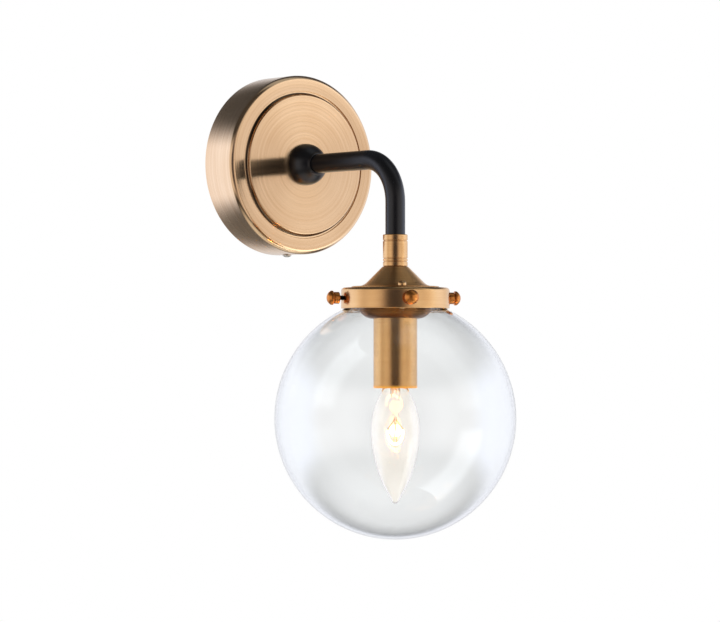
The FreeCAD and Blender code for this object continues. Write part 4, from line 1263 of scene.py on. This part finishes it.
    def plate_screws(self) -> bpy.types.Object:
        """Make the two cross-slotted screws through the cap's foot, one opposite the other.

        Returns:
            The pair.
        """
        head, rise, shank = self.plate_screw_head, self.plate_screw_rise, self.plate_screw_shank
        end, circle = -self.plate_screw_length, self.plate_screw_circle
        long, wide, tall = head * self.driver_span, self.driver_width, self.driver_height
        outline = [Corner(0, end), Corner(shank, end, 0.2), Corner(shank, 0), Corner(head, 0, 0.2),
                   *dome(head, rise / 2, rise, 9)]
        pair = []
        for half_turn in (0, 180):
            screw = Bench.turned("plate_screw", rounded(outline), UPRIGHT, 40)
            Bench.cut(screw, [Bench.cutter_box(size, (0, 0, rise), 45) for size in
                              ((long, wide, tall), (wide, long, tall))])
            angle = math.radians(-90 + FIRST_SCREW - self.plate_screw_angle + half_turn)
            place = (circle * math.cos(angle), -LAMP_OUT + circle * math.sin(angle),
                     -(self.ring_top - self.cone_wall))
            pair.append(Bench.settled(screw, Matrix.Translation(Vector(place) * MM)))
        return Bench.settled(Bench.joined("plate_screw_pair", pair))

    def build(self) -> None:
        """Make the neck, the cap, the ring, the shield and their fastenings."""
        fitted(self.coupler(), LATHE_BRASS, "fixture", "neck_coupler")
        fitted(self.cap(), CAP_BRASS, "fixture", "cone_cap")
        fitted(self.ring(), LATHE_BRASS, "fixture", "fitter_ring")
        fitted(self.shield(), SHIELD_BRASS, "fixture", "heat_shield")
        fitted(self.plate_screws(), LATHE_BRASS, "fixture", "plate_screws")
        dressed(self.steel, "_steel", ZINC, self.bevel)
        fitted(Bench.from_solid("thumbscrew_bushes", "welded_bushes", self.bevel), RAW_BRASS,
               "fixture", "thumbscrew_bushes")


@dataclass
class Thumbscrews:
    """Four knobs on black studs with nylon tips, a quarter turn apart."""

    gap: float = 0.4
    knob_radius: float = 4.5
    knob_foot: float = 3.7
    knob_neck: float = 3.2
    knob_hole: float = 1.53
    foot_height: float = 3.4
    neck_height: float = 4.0
    hole_depth: float = 4.05
    side_height: float = 5.2
    knob_height: float = 8.0
    stud_core: float = 1.28
    stud_root: float = 1.2
    stud_crest: float = 1.47
    pin: float = 0.85
    pin_length: float = 1.4
    face: float = 29.5
    tip_radius: float = 1.5
    tip_length: float = 2.0
    tip_hole: float = 0.8
    tip_play: float = 0.05
    thread_start: float = 0.1
    back_off: float = 1.8
    pitch: float = 0.5
    sides: tuple[str, ...] = ("front", "right", "back", "left")

    @property
    def base(self) -> float:
        """Return how far out the knobs start when they are screwed in."""
        return RING_RADIUS + self.gap

    def knob(self) -> bpy.types.Object:
        """Turn a knob on the upright axis: shoulder, groove, head and dome.

        Returns:
            The knob.
        """
        base, hole = self.base, self.knob_hole
        deep, foot, neck = base + self.hole_depth, base + self.foot_height, base + self.neck_height
        outline = [Corner(0, deep), Corner(hole, deep), Corner(hole, base),
                   Corner(self.knob_foot, base, 0.5), Corner(self.knob_foot, foot, 0.35),
                   Corner(self.knob_neck, foot, 0.15), Corner(self.knob_neck, neck, 0.15),
                   Corner(self.knob_radius, neck, 0.4),
                   *dome(self.knob_radius, base + self.side_height, base + self.knob_height)]
        return Bench.turned("knob_pattern", rounded(outline, 15), UPRIGHT, 64)

    def stud(self) -> bpy.types.Object:
        """Make a threaded stud on the upright axis: a core with a wound ridge.

        Returns:
            The stud.
        """
        start = self.face + self.tip_length + self.tip_play
        end = self.base + self.neck_height
        core, pin, shoulder = self.stud_core, self.pin, start + self.pin_length
        outline = [Corner(0, shoulder), Corner(pin, shoulder), Corner(pin, start),
                   Corner(core, start, 0.1), Corner(core, end, 0.1), Corner(0, end)]
        body = Bench.turned("stud_pattern", rounded(outline, 30), UPRIGHT, 32)
        # a tooth with a narrow crest, its corners given in shares of the pitch
        root, crest, p = self.stud_root, self.stud_crest, self.pitch
        tooth = [(root, 0.04 * p), (crest, 0.42 * p), (crest, 0.58 * p), (root, 0.96 * p)]
        ridge = Bench.helix("stud_ridge", tooth, p, int((end - start) / p) - 1, 32)
        Bench.settled(ridge, Matrix.Translation((0, 0, (start + self.thread_start) * MM)))
        return Bench.settled(Bench.joined("stud_pattern", [body, ridge]))

    def tip(self) -> bpy.types.Object:
        """Turn a nylon tip on the upright axis, its face eased.

        Returns:
            The tip.
        """
        face, joint = self.face, self.face + self.tip_length
        r, hole, end = self.tip_radius, self.tip_hole, joint + self.pin_length
        outline = [Corner(0, face), Corner(r, face, 0.3), Corner(r, joint), Corner(hole, joint),
                   Corner(hole, end, 0.15), Corner(0, end)]
        return Bench.turned("tip_pattern", rounded(outline, 20), UPRIGHT, 32)

    def build(self) -> None:
        """Model each piece once and copy it round the ring."""
        patterns = {"knob": self.knob(), "stud": self.stud(), "tip": self.tip()}
        finishes = {"knob": KNOB_BRASS, "stud": BLACK_OXIDE, "tip": TIP_NYLON}
        for quarter, side in enumerate(self.sides):
            # the left screw is shown backed out
            place = screw_axis(quarter, self.back_off if side == "left" else 0.0).matrix()
            for part, pattern in patterns.items():
                body = "thumbscrew_tip_" + side if part == "tip" else "thumbscrew_" + side
                copy = Bench.copied(pattern, "%s_%s" % (part, side), place)
                fitted(copy, finishes[part], body, "thumbscrew_%s_%s" % (part, side))
        for pattern in patterns.values():
            bpy.data.objects.remove(pattern, do_unlink=True)


@dataclass
class Globe:
    """The blown globe with its upright mouth."""

    radius: float = 76.2
    drop: float = 164.3
    wall: float = 2.0
    mouth: float = 29.4
    mouth_top: float = 85.5
    fillet: float = 3.0

    def blown(self) -> bpy.types.Object:
        """Turn the globe: ball, fillet and mouth, with a fire-polished rim.

        Returns:
            The globe.
        """
        big, t, r, f = self.radius, self.wall, self.mouth, self.fillet
        out, level, top = r + f, -self.drop, -self.mouth_top
        up = math.sqrt((big + f) ** 2 - out ** 2)
        tilt = math.degrees(math.atan2(up, out))
        outer = [*arc((out, level + up), f, 180, 180 + tilt, 6),
                 *arc((0, level), big, tilt, -90, 2.5)]
        inner = [*arc((0, level), big - t, -90, tilt, 2.5),
                 *arc((out, level + up), f + t, 180 + tilt, 180, 6)]
        # just short of half the wall, so that the rim's two rounds don't meet in one point
        rim = t / 2 - 0.02
        corners = [Corner(r - t, top, rim), Corner(r, top, rim), *outer, *inner]
        return Bench.turned("blown_globe", rounded(corners, 15), LAMP, 192, 60)

    def build(self) -> None:
        """Make the globe."""
        fitted(self.blown(), BLOWN_GLASS, "globe", "globe")


@dataclass
class Holder:
    """The brass cup and the lamp holder inside it."""

    radius: float = 13.85
    wall: float = 0.8
    top_drop: float = 83.1
    end_drop: float = 145.2
    mouldings: tuple[str, ...] = ("socket_cap", "socket_body")
    moulding_bevel: float = 0.3
    contacts: tuple[str, ...] = ("socket_shell", "socket_contact", "socket_terminals")
    contact_bevel: float = 0.08

    def cup(self) -> bpy.types.Object:
        """Turn the cup with its rolled top and eased lip.

        Returns:
            The cup.
        """
        r, t, hole, top, end = self.radius, self.wall, NIPPLE_HOLE, -self.top_drop, -self.end_drop
        outline = [Corner(hole, top), Corner(r, top, 1.6), Corner(r, end, 0.25),
                   Corner(r - t, end, 0.25), Corner(r - t, top - t, 0.8), Corner(hole, top - t)]
        return Bench.turned("socket_sleeve", rounded(outline), LAMP, 128)

    def build(self) -> None:
        """Make the cup and dress the holder's solids."""
        fitted(self.cup(), CUP_BRASS, "fixture", "socket_cup")
        dressed(self.mouldings, "_moulding", PHENOLIC, self.moulding_bevel)
        dressed(self.contacts, "_brass", RAW_BRASS, self.contact_bevel)


@dataclass
class Bulb:
    """The torpedo bulb: glass, threaded cap, stem and coiled filament."""

    waist: float = 171.6
    radius: float = 15.65
    throat: float = 5.6
    shoulder: float = 9.3
    shoulder_drop: float = 148.0
    point: float = 4.6
    point_rise: float = 5.9
    nose: float = 2.4
    nose_rise: float = 1.7
    tip: float = 218.0
    wall: float = 0.8
    cap_rim: float = 140.5
    cap_start: float = 121.5
    cap_radius: float = 5.95
    contact_hole: float = 1.8
    thread_root: float = 0.55
    thread_rise: float = 3.0
    ridge_round: float = 1.32
    ridge_end: float = 0.15
    ridge_in: float = 0.9
    pitch: float = 2.54
    thread_turns: int = 5
    wire: float = 0.22
    coil: float = 0.62
    coil_turns: int = 34
    coil_points: int = 12
    arch_half: float = 6.4
    arch_drop: float = 171.5
    arch_sag: float = 9.0

    def profile(self, inset: float) -> list[Corner]:
        """Lay out the glass from throat to tip.

        Args:
            inset: How far inside the outer side it runs, in mm.

        Returns:
            The corners.
        """
        shoulder = (self.shoulder - inset, -self.shoulder_drop)
        waist = (self.radius - inset, -self.waist)
        point = (self.point - inset, -self.tip + self.point_rise + inset * 0.6)
        nose = (self.nose - inset * 0.6, -self.tip + self.nose_rise + inset * 0.9)
        end = (0.0, -self.tip + inset)
        upper = bow(waist[1] - shoulder[1], waist[0] - shoulder[0])
        lower = bow(waist[1] - point[1], waist[0] - point[0])
        return [Corner(self.throat - inset, -self.cap_rim),
                *arc_between(shoulder, waist, -upper, 2.5),
                *arc_between(waist, point, -lower, 2.5)[1:],
                *arc_between(nose, end, -bow(nose[0], nose[1] - end[1]), 10)]

    def glass(self) -> bpy.types.Object:
        """Turn the drawn glass, its walls closed at the throat.

        Returns:
            The glass.
        """
        outline = [*self.profile(0.0), *reversed(self.profile(self.wall))]
        return Bench.turned("torpedo_glass", rounded(outline), LAMP, 128, 60)

    def cap(self) -> bpy.types.Object:
        """Make the nickel cap with its rolled screw thread.

        Returns:
            The cap.
        """
        r, start, rim, hole = self.cap_radius, -self.cap_start, -self.cap_rim, self.contact_hole
        root, foot = r - self.thread_root, r - self.ridge_in
        core = [Corner(hole, start), Corner(r - 1.0, start, 0.3),
                Corner(root, start - 1.2, 0.4), Corner(root, rim + 2.6, 0.3),
                Corner(r - 0.05, rim + 2.0, 0.3), Corner(r - 0.05, rim, 0.1),
                Corner(r - 0.3, rim, 0.1), Corner(r - 0.85, start - 1.0, 0.3),
                Corner(hole, start - 0.3)]
        body = Bench.turned("cap_core", rounded(core, 20), LAMP, 96)
        ridge = arc_between((foot, self.ridge_end), (foot, self.pitch - self.ridge_end),
                            self.ridge_round, 18)
        shift = r - 0.01 - max(corner.radius for corner in ridge)
        tooth = [(corner.radius + shift, corner.along) for corner in ridge]
        thread = Bench.helix("cap_thread", tooth, self.pitch, self.thread_turns, 72)
        place = Vector((0, -LAMP_OUT, rim + self.thread_rise)) * MM
        Bench.settled(thread, Matrix.Translation(place))
        return Bench.settled(Bench.joined("screw_cap", [body, thread]), None, 35)

    def filament(self) -> bpy.types.Object:
        """Wind the filament: a wire in a coil along an arch.

        Returns:
            The filament.
        """
        Bench.clear()
        bpy.ops.curve.primitive_nurbs_path_add(location=(0, 0, 0))
        curve = bpy.context.active_object.data
        curve.splines.clear()
        spline = curve.splines.new("NURBS")
        count = self.coil_turns * self.coil_points
        spline.points.add(count)
        for index, point in enumerate(spline.points):
            sweep = math.pi * index / count
            phase = math.tau * self.coil_turns * index / count
            across, down = math.cos(sweep), math.sin(sweep)
            inward = self.coil * math.cos(phase)
            spot = Vector((self.arch_half * across + inward * across,
                           self.coil * math.sin(phase) - LAMP_OUT,
                           -self.arch_drop - self.arch_sag * down ** 0.8 - inward * down))
            point.co = (*spot * MM, 1)
        spline.use_endpoint_u = True
        curve.bevel_depth = self.wire * MM
        curve.bevel_resolution = 2
        curve.use_fill_caps = True
        bpy.ops.object.convert(target="MESH")
        return Bench.settled(Bench.named("coiled_filament"))

    def build(self) -> None:
        """Make the bulb's pieces and hang them on the turning bulb."""
        fitted(self.glass(), BULB_GLASS, "bulb", "bulb_glass")
        fitted(self.cap(), NICKEL, "bulb", "bulb_cap")
        fitted(Bench.from_solid("bulb_stem", "pinched_stem"), BULB_GLASS, "bulb", "bulb_stem")
        fitted(Bench.from_solid("bulb_insulator", "cap_insulator"), BLACK_GLASS, "bulb",
               "bulb_insulator")
        fitted(Bench.from_solid("bulb_contact", "end_contact"), RAW_BRASS, "bulb_contact",
               "bulb_contact")
        dressed(("bulb_leads", "bulb_supports"), "_wire", LEAD_WIRE, body="bulb")
        fitted(self.filament(), HOT_FILAMENT, "bulb", "bulb_filament")


# ------------------------------------------------------------------------------------ studio
@dataclass
class Studio:
    """Pale floor, white background, two soft boxes, a warm bulb and the camera."""

    azimuth: float = 39.3
    distance: float = 2000.0
    camera_drop: float = 125.0
    sensor: float = 36.0
    focal: float = 158.67
    frame_px: float = 720.0
    left_px: float = -35.3
    up_px: float = 45.0
    floor_drop: float = 1000.0
    floor_radius: float = 420.0
    floor_depth: float = 20.0
    peak: float = 1.8
    ceiling: float = 0.07
    fill: float = 0.75
    panel: Spot = (0.78, 0.82, 0.86)
    # degrees round from the camera's side, and the colour of the wall there
    walls: tuple[tuple[float, float, float, float], ...] = (
        (0.0, 0.045, 0.04, 0.055), (180.0, 0.85, 0.85, 0.86), (13.0, 0.06, 0.052, 0.065),
        (19.0, 0.18, 0.155, 0.165), (26.0, 0.48, 0.42, 0.42), (33.0, 0.74, 0.67, 0.66),
        (45.0, 0.95, 0.90, 0.90), (54.0, 0.95, 0.90, 0.90), (70.0, 0.82, 0.76, 0.76),
        (80.0, 0.95, 0.90, 0.93), (90.0, 1.16, 1.22, 1.42), (101.0, 1.22, 1.32, 1.67),
        (115.0, 1.20, 1.28, 1.60), (132.0, 1.05, 1.08, 1.20))
    # name, degrees round from the view's direction, and watts
    boxes: tuple[tuple[str, float, float], ...] = (
        ("left_box", 62.0, 9.0), ("right_box", -62.0, 7.0))
    box_middle: float = 90.0
    box_distance: float = 1250.0
    box_rise: float = 0.12
    box_width: float = 550.0
    box_height: float = 1300.0
    bulb_drop: float = 172.0
    bulb_radius: float = 4.0
    bulb_watts: float = 0.2

    def camera(self) -> None:
        """Add the camera at the photograph's view."""
        angle = math.radians(self.azimuth)
        ahead = Vector((math.sin(angle), math.cos(angle), 0))
        right = Vector((math.cos(angle), -math.sin(angle), 0))
        stand = Vector((0, -LAMP_OUT, -self.camera_drop)) - ahead * self.distance
        look = (ahead * (self.focal / self.sensor * self.frame_px) + right * self.left_px
                + Vector((0, 0, self.up_px)))
        data = bpy.data.cameras.new("view")
        data.sensor_width = self.sensor
        data.lens = self.focal
        data.clip_end = 50.0
        camera = Bench.placed("view", data)
        camera.location = stand * MM
        camera.rotation_euler = look.to_track_quat("-Z", "Y").to_euler()
        bpy.context.scene.camera = camera

    def floor(self) -> None:
        """Add the round pale floor."""
        Bench.clear()
        middle = Vector((0, -LAMP_OUT, -self.floor_drop - self.floor_depth / 2)) * MM
        bpy.ops.mesh.primitive_cylinder_add(vertices=96, radius=self.floor_radius * MM,
                                            depth=self.floor_depth * MM, location=middle)
        floor = Bench.named("studio_floor")
        # emulsion paint on board: even and matt
        material = bpy.data.materials.new("pale_paint")
        tree = emptied(material)
        add(tree, "ShaderNodeOutputMaterial",
            Surface=add(tree, "ShaderNodeBsdfDiffuse", {"Color": linear("F4F4F3")}))
        floor.data.materials.append(material)

    def world(self) -> None:
        """Make the surroundings: white to look at, and a graded room for what is mirrored."""
        world = bpy.data.worlds.new("studio")
        bpy.context.scene.world = world
        tree = emptied(world)
        path = add(tree, "ShaderNodeLightPath")
        straight = add(tree, "ShaderNodeMath", {"operation": "MAXIMUM"},
                       in0=path.outputs["Is Camera Ray"], in1=path.outputs["Is Transmission Ray"])
        # a mirrored ray stays one when it leaves through the globe
        bounced = add(tree, "ShaderNodeMath", {"operation": "MINIMUM", 1: 1.0},
                      in0=path.outputs["Glossy Depth"])
        direct = add(tree, "ShaderNodeMath", {"operation": "SUBTRACT", 0: 1.0}, in1=bounced)
        seen = add(tree, "ShaderNodeMath", {"operation": "MULTIPLY"}, in0=straight, in1=direct)
        sharp = add(tree, "ShaderNodeMath", {"operation": "SUBTRACT", 0: 1.0},
                    in1=path.outputs["Is Diffuse Ray"])
        shiny = add(tree, "ShaderNodeMath", {"operation": "MULTIPLY"}, in0=bounced, in1=sharp)
        white = add(tree, "ShaderNodeBackground", {"Color": (1, 1, 1, 1), "Strength": 1.0})
        fill = add(tree, "ShaderNodeBackground", {"Color": linear("F4F6FA"), "Strength": self.fill})
        mirrored = add(tree, "ShaderNodeBackground", {"Strength": 1.0},
                       Color=self.surroundings(tree))
        indirect = add(tree, "ShaderNodeMixShader", in0=shiny, in1=fill, in2=mirrored)
        add(tree, "ShaderNodeOutputWorld",
            Surface=add(tree, "ShaderNodeMixShader", in0=seen, in1=indirect, in2=white))

    def surroundings(self, tree: bpy.types.NodeTree) -> bpy.types.Node:
        """Add what shiny things mirror: walls of light round a dark strip on the camera's side.

        The canopy's face mirrors two cool panels.  Little comes from high up, and a pale floor
        lies far below.

        Args:
            tree: The world's tree.

        Returns:
            The node that gives a colour by direction.
        """
        angle = math.radians(self.azimuth)
        where = add(tree, "ShaderNodeTexCoord").outputs["Generated"]
        height = add(tree, "ShaderNodeSeparateXYZ", Vector=where).outputs["Z"]
        # the camera's side, the direction that the canopy's face mirrors, and the side of that
        camera_side, ahead, aside = (
            add(tree, "ShaderNodeVectorMath", {"operation": "DOT_PRODUCT", 1: way}, in0=where)
            .outputs["Value"] for way in ((-math.sin(angle), -math.cos(angle), 0),
                                          (math.sin(angle), -math.cos(angle), 0),
                                          (math.cos(angle), math.sin(angle), 0)))
        turn = add(tree, "ShaderNodeMath", {"operation": "ARCCOSINE"}, in0=camera_side)
        share = add(tree, "ShaderNodeMath", {"operation": "DIVIDE", 1: math.pi}, in0=turn)
        walls = add(tree, "ShaderNodeValToRGB", Fac=share)
        stops = walls.color_ramp.elements
        for index, (degrees, *colour) in enumerate(self.walls):
            stop = stops[index] if index < 2 else stops.new(degrees / 180)
            stop.position = degrees / 180
            stop.color = (*[part / self.peak for part in colour], 1.0)
        off, steep = (add(tree, "ShaderNodeMath", {"operation": "ABSOLUTE"}, in0=part)
                      for part in (aside, height))
        # where each change starts and ends, and what it goes from and to
        above, below, narrow, tall, front, lower, down = (
            add(tree, "ShaderNodeMapRange",
                {"interpolation_type": kind, "From Min": start, "From Max": end, "To Min": first,
                 "To Max": last}, Value=source)
            for source, kind, start, end, first, last in (
                (height, "SMOOTHSTEP", 0.24, 0.56, self.peak, self.ceiling * self.peak),
                (height, "SMOOTHSTEP", -0.60, -0.36, self.ceiling, 1.0),
                (off, "SMOOTHSTEP", 0.12, 0.32, 1.0, 0.0),
                (steep, "SMOOTHSTEP", 0.06, 0.22, 0.0, 1.0),
                (ahead, "LINEAR", 0.0, 0.1, 0.0, 1.0),
                (height, "LINEAR", -0.3, 0.3, 1.9, 0.5),
                (height, "SMOOTHSTEP", -0.92, -0.60, 0.8, 0.0)))
        band = add(tree, "ShaderNodeMath", {"operation": "MULTIPLY"}, in0=above, in1=below)
        lit = add(tree, "ShaderNodeVectorMath", {"operation": "SCALE"}, in0=walls, Scale=band)
        # the two panels are one shape, cut by height; the lower one is the stronger
        shape = narrow
        for factor in (tall, front, lower):
            shape = add(tree, "ShaderNodeMath", {"operation": "MULTIPLY"}, in0=shape, in1=factor)
        panels = add(tree, "ShaderNodeVectorMath", {"operation": "SCALE", 0: self.panel},
                     Scale=shape)
        # the floor goes on below, past the rim of the modelled one
        for more in (panels, down):
            lit = add(tree, "ShaderNodeVectorMath", {"operation": "ADD"}, in0=lit, in1=more)
        return lit

    def lamps(self) -> None:
        """Add two tall soft boxes and the warm light of the bulb."""
        middle = Vector((0, -LAMP_OUT, -self.box_middle)) * MM
        for name, turn, power in self.boxes:
            angle = math.radians(self.azimuth + turn)
            away = Vector((math.sin(angle), math.cos(angle), -self.box_rise))
            data = bpy.data.lights.new(name, "AREA")
            data.shape = "RECTANGLE"
            data.size = self.box_width * MM
            data.size_y = self.box_height * MM
            data.energy = power
            data.color = linear("FFFDF8")[:3]
            light = Bench.placed(name, data)
            light.visible_glossy = False
            light.visible_transmission = False
            light.location = middle - away * self.box_distance * MM
            light.rotation_euler = away.to_track_quat("-Z", "Y").to_euler()
        data = bpy.data.lights.new("bulb_light", "POINT")
        data.energy = self.bulb_watts
        data.shadow_soft_size = self.bulb_radius * MM
        data.color = linear("FFA848")[:3]
        Bench.placed("bulb_light", data).location = Vector((0, -LAMP_OUT, -self.bulb_drop)) * MM

    def build(self) -> None:
        """Set up everything that isn't the object."""
        self.camera()
        self.floor()
        self.world()
        self.lamps()
        bpy.context.scene.view_settings.view_transform = "Standard"


def main() -> None:
    """Build the sconce from the wall outwards and set up the studio."""
    logging.basicConfig(level=logging.INFO, format="%(name)s: %(message)s")
    for assembly in (Canopy(), WallWorks(), Arm(), Fitter(), Thumbscrews(), Globe(), Holder(),
                     Bulb(), Studio()):
        assembly.build()


if __name__ == "__main__":
    main()
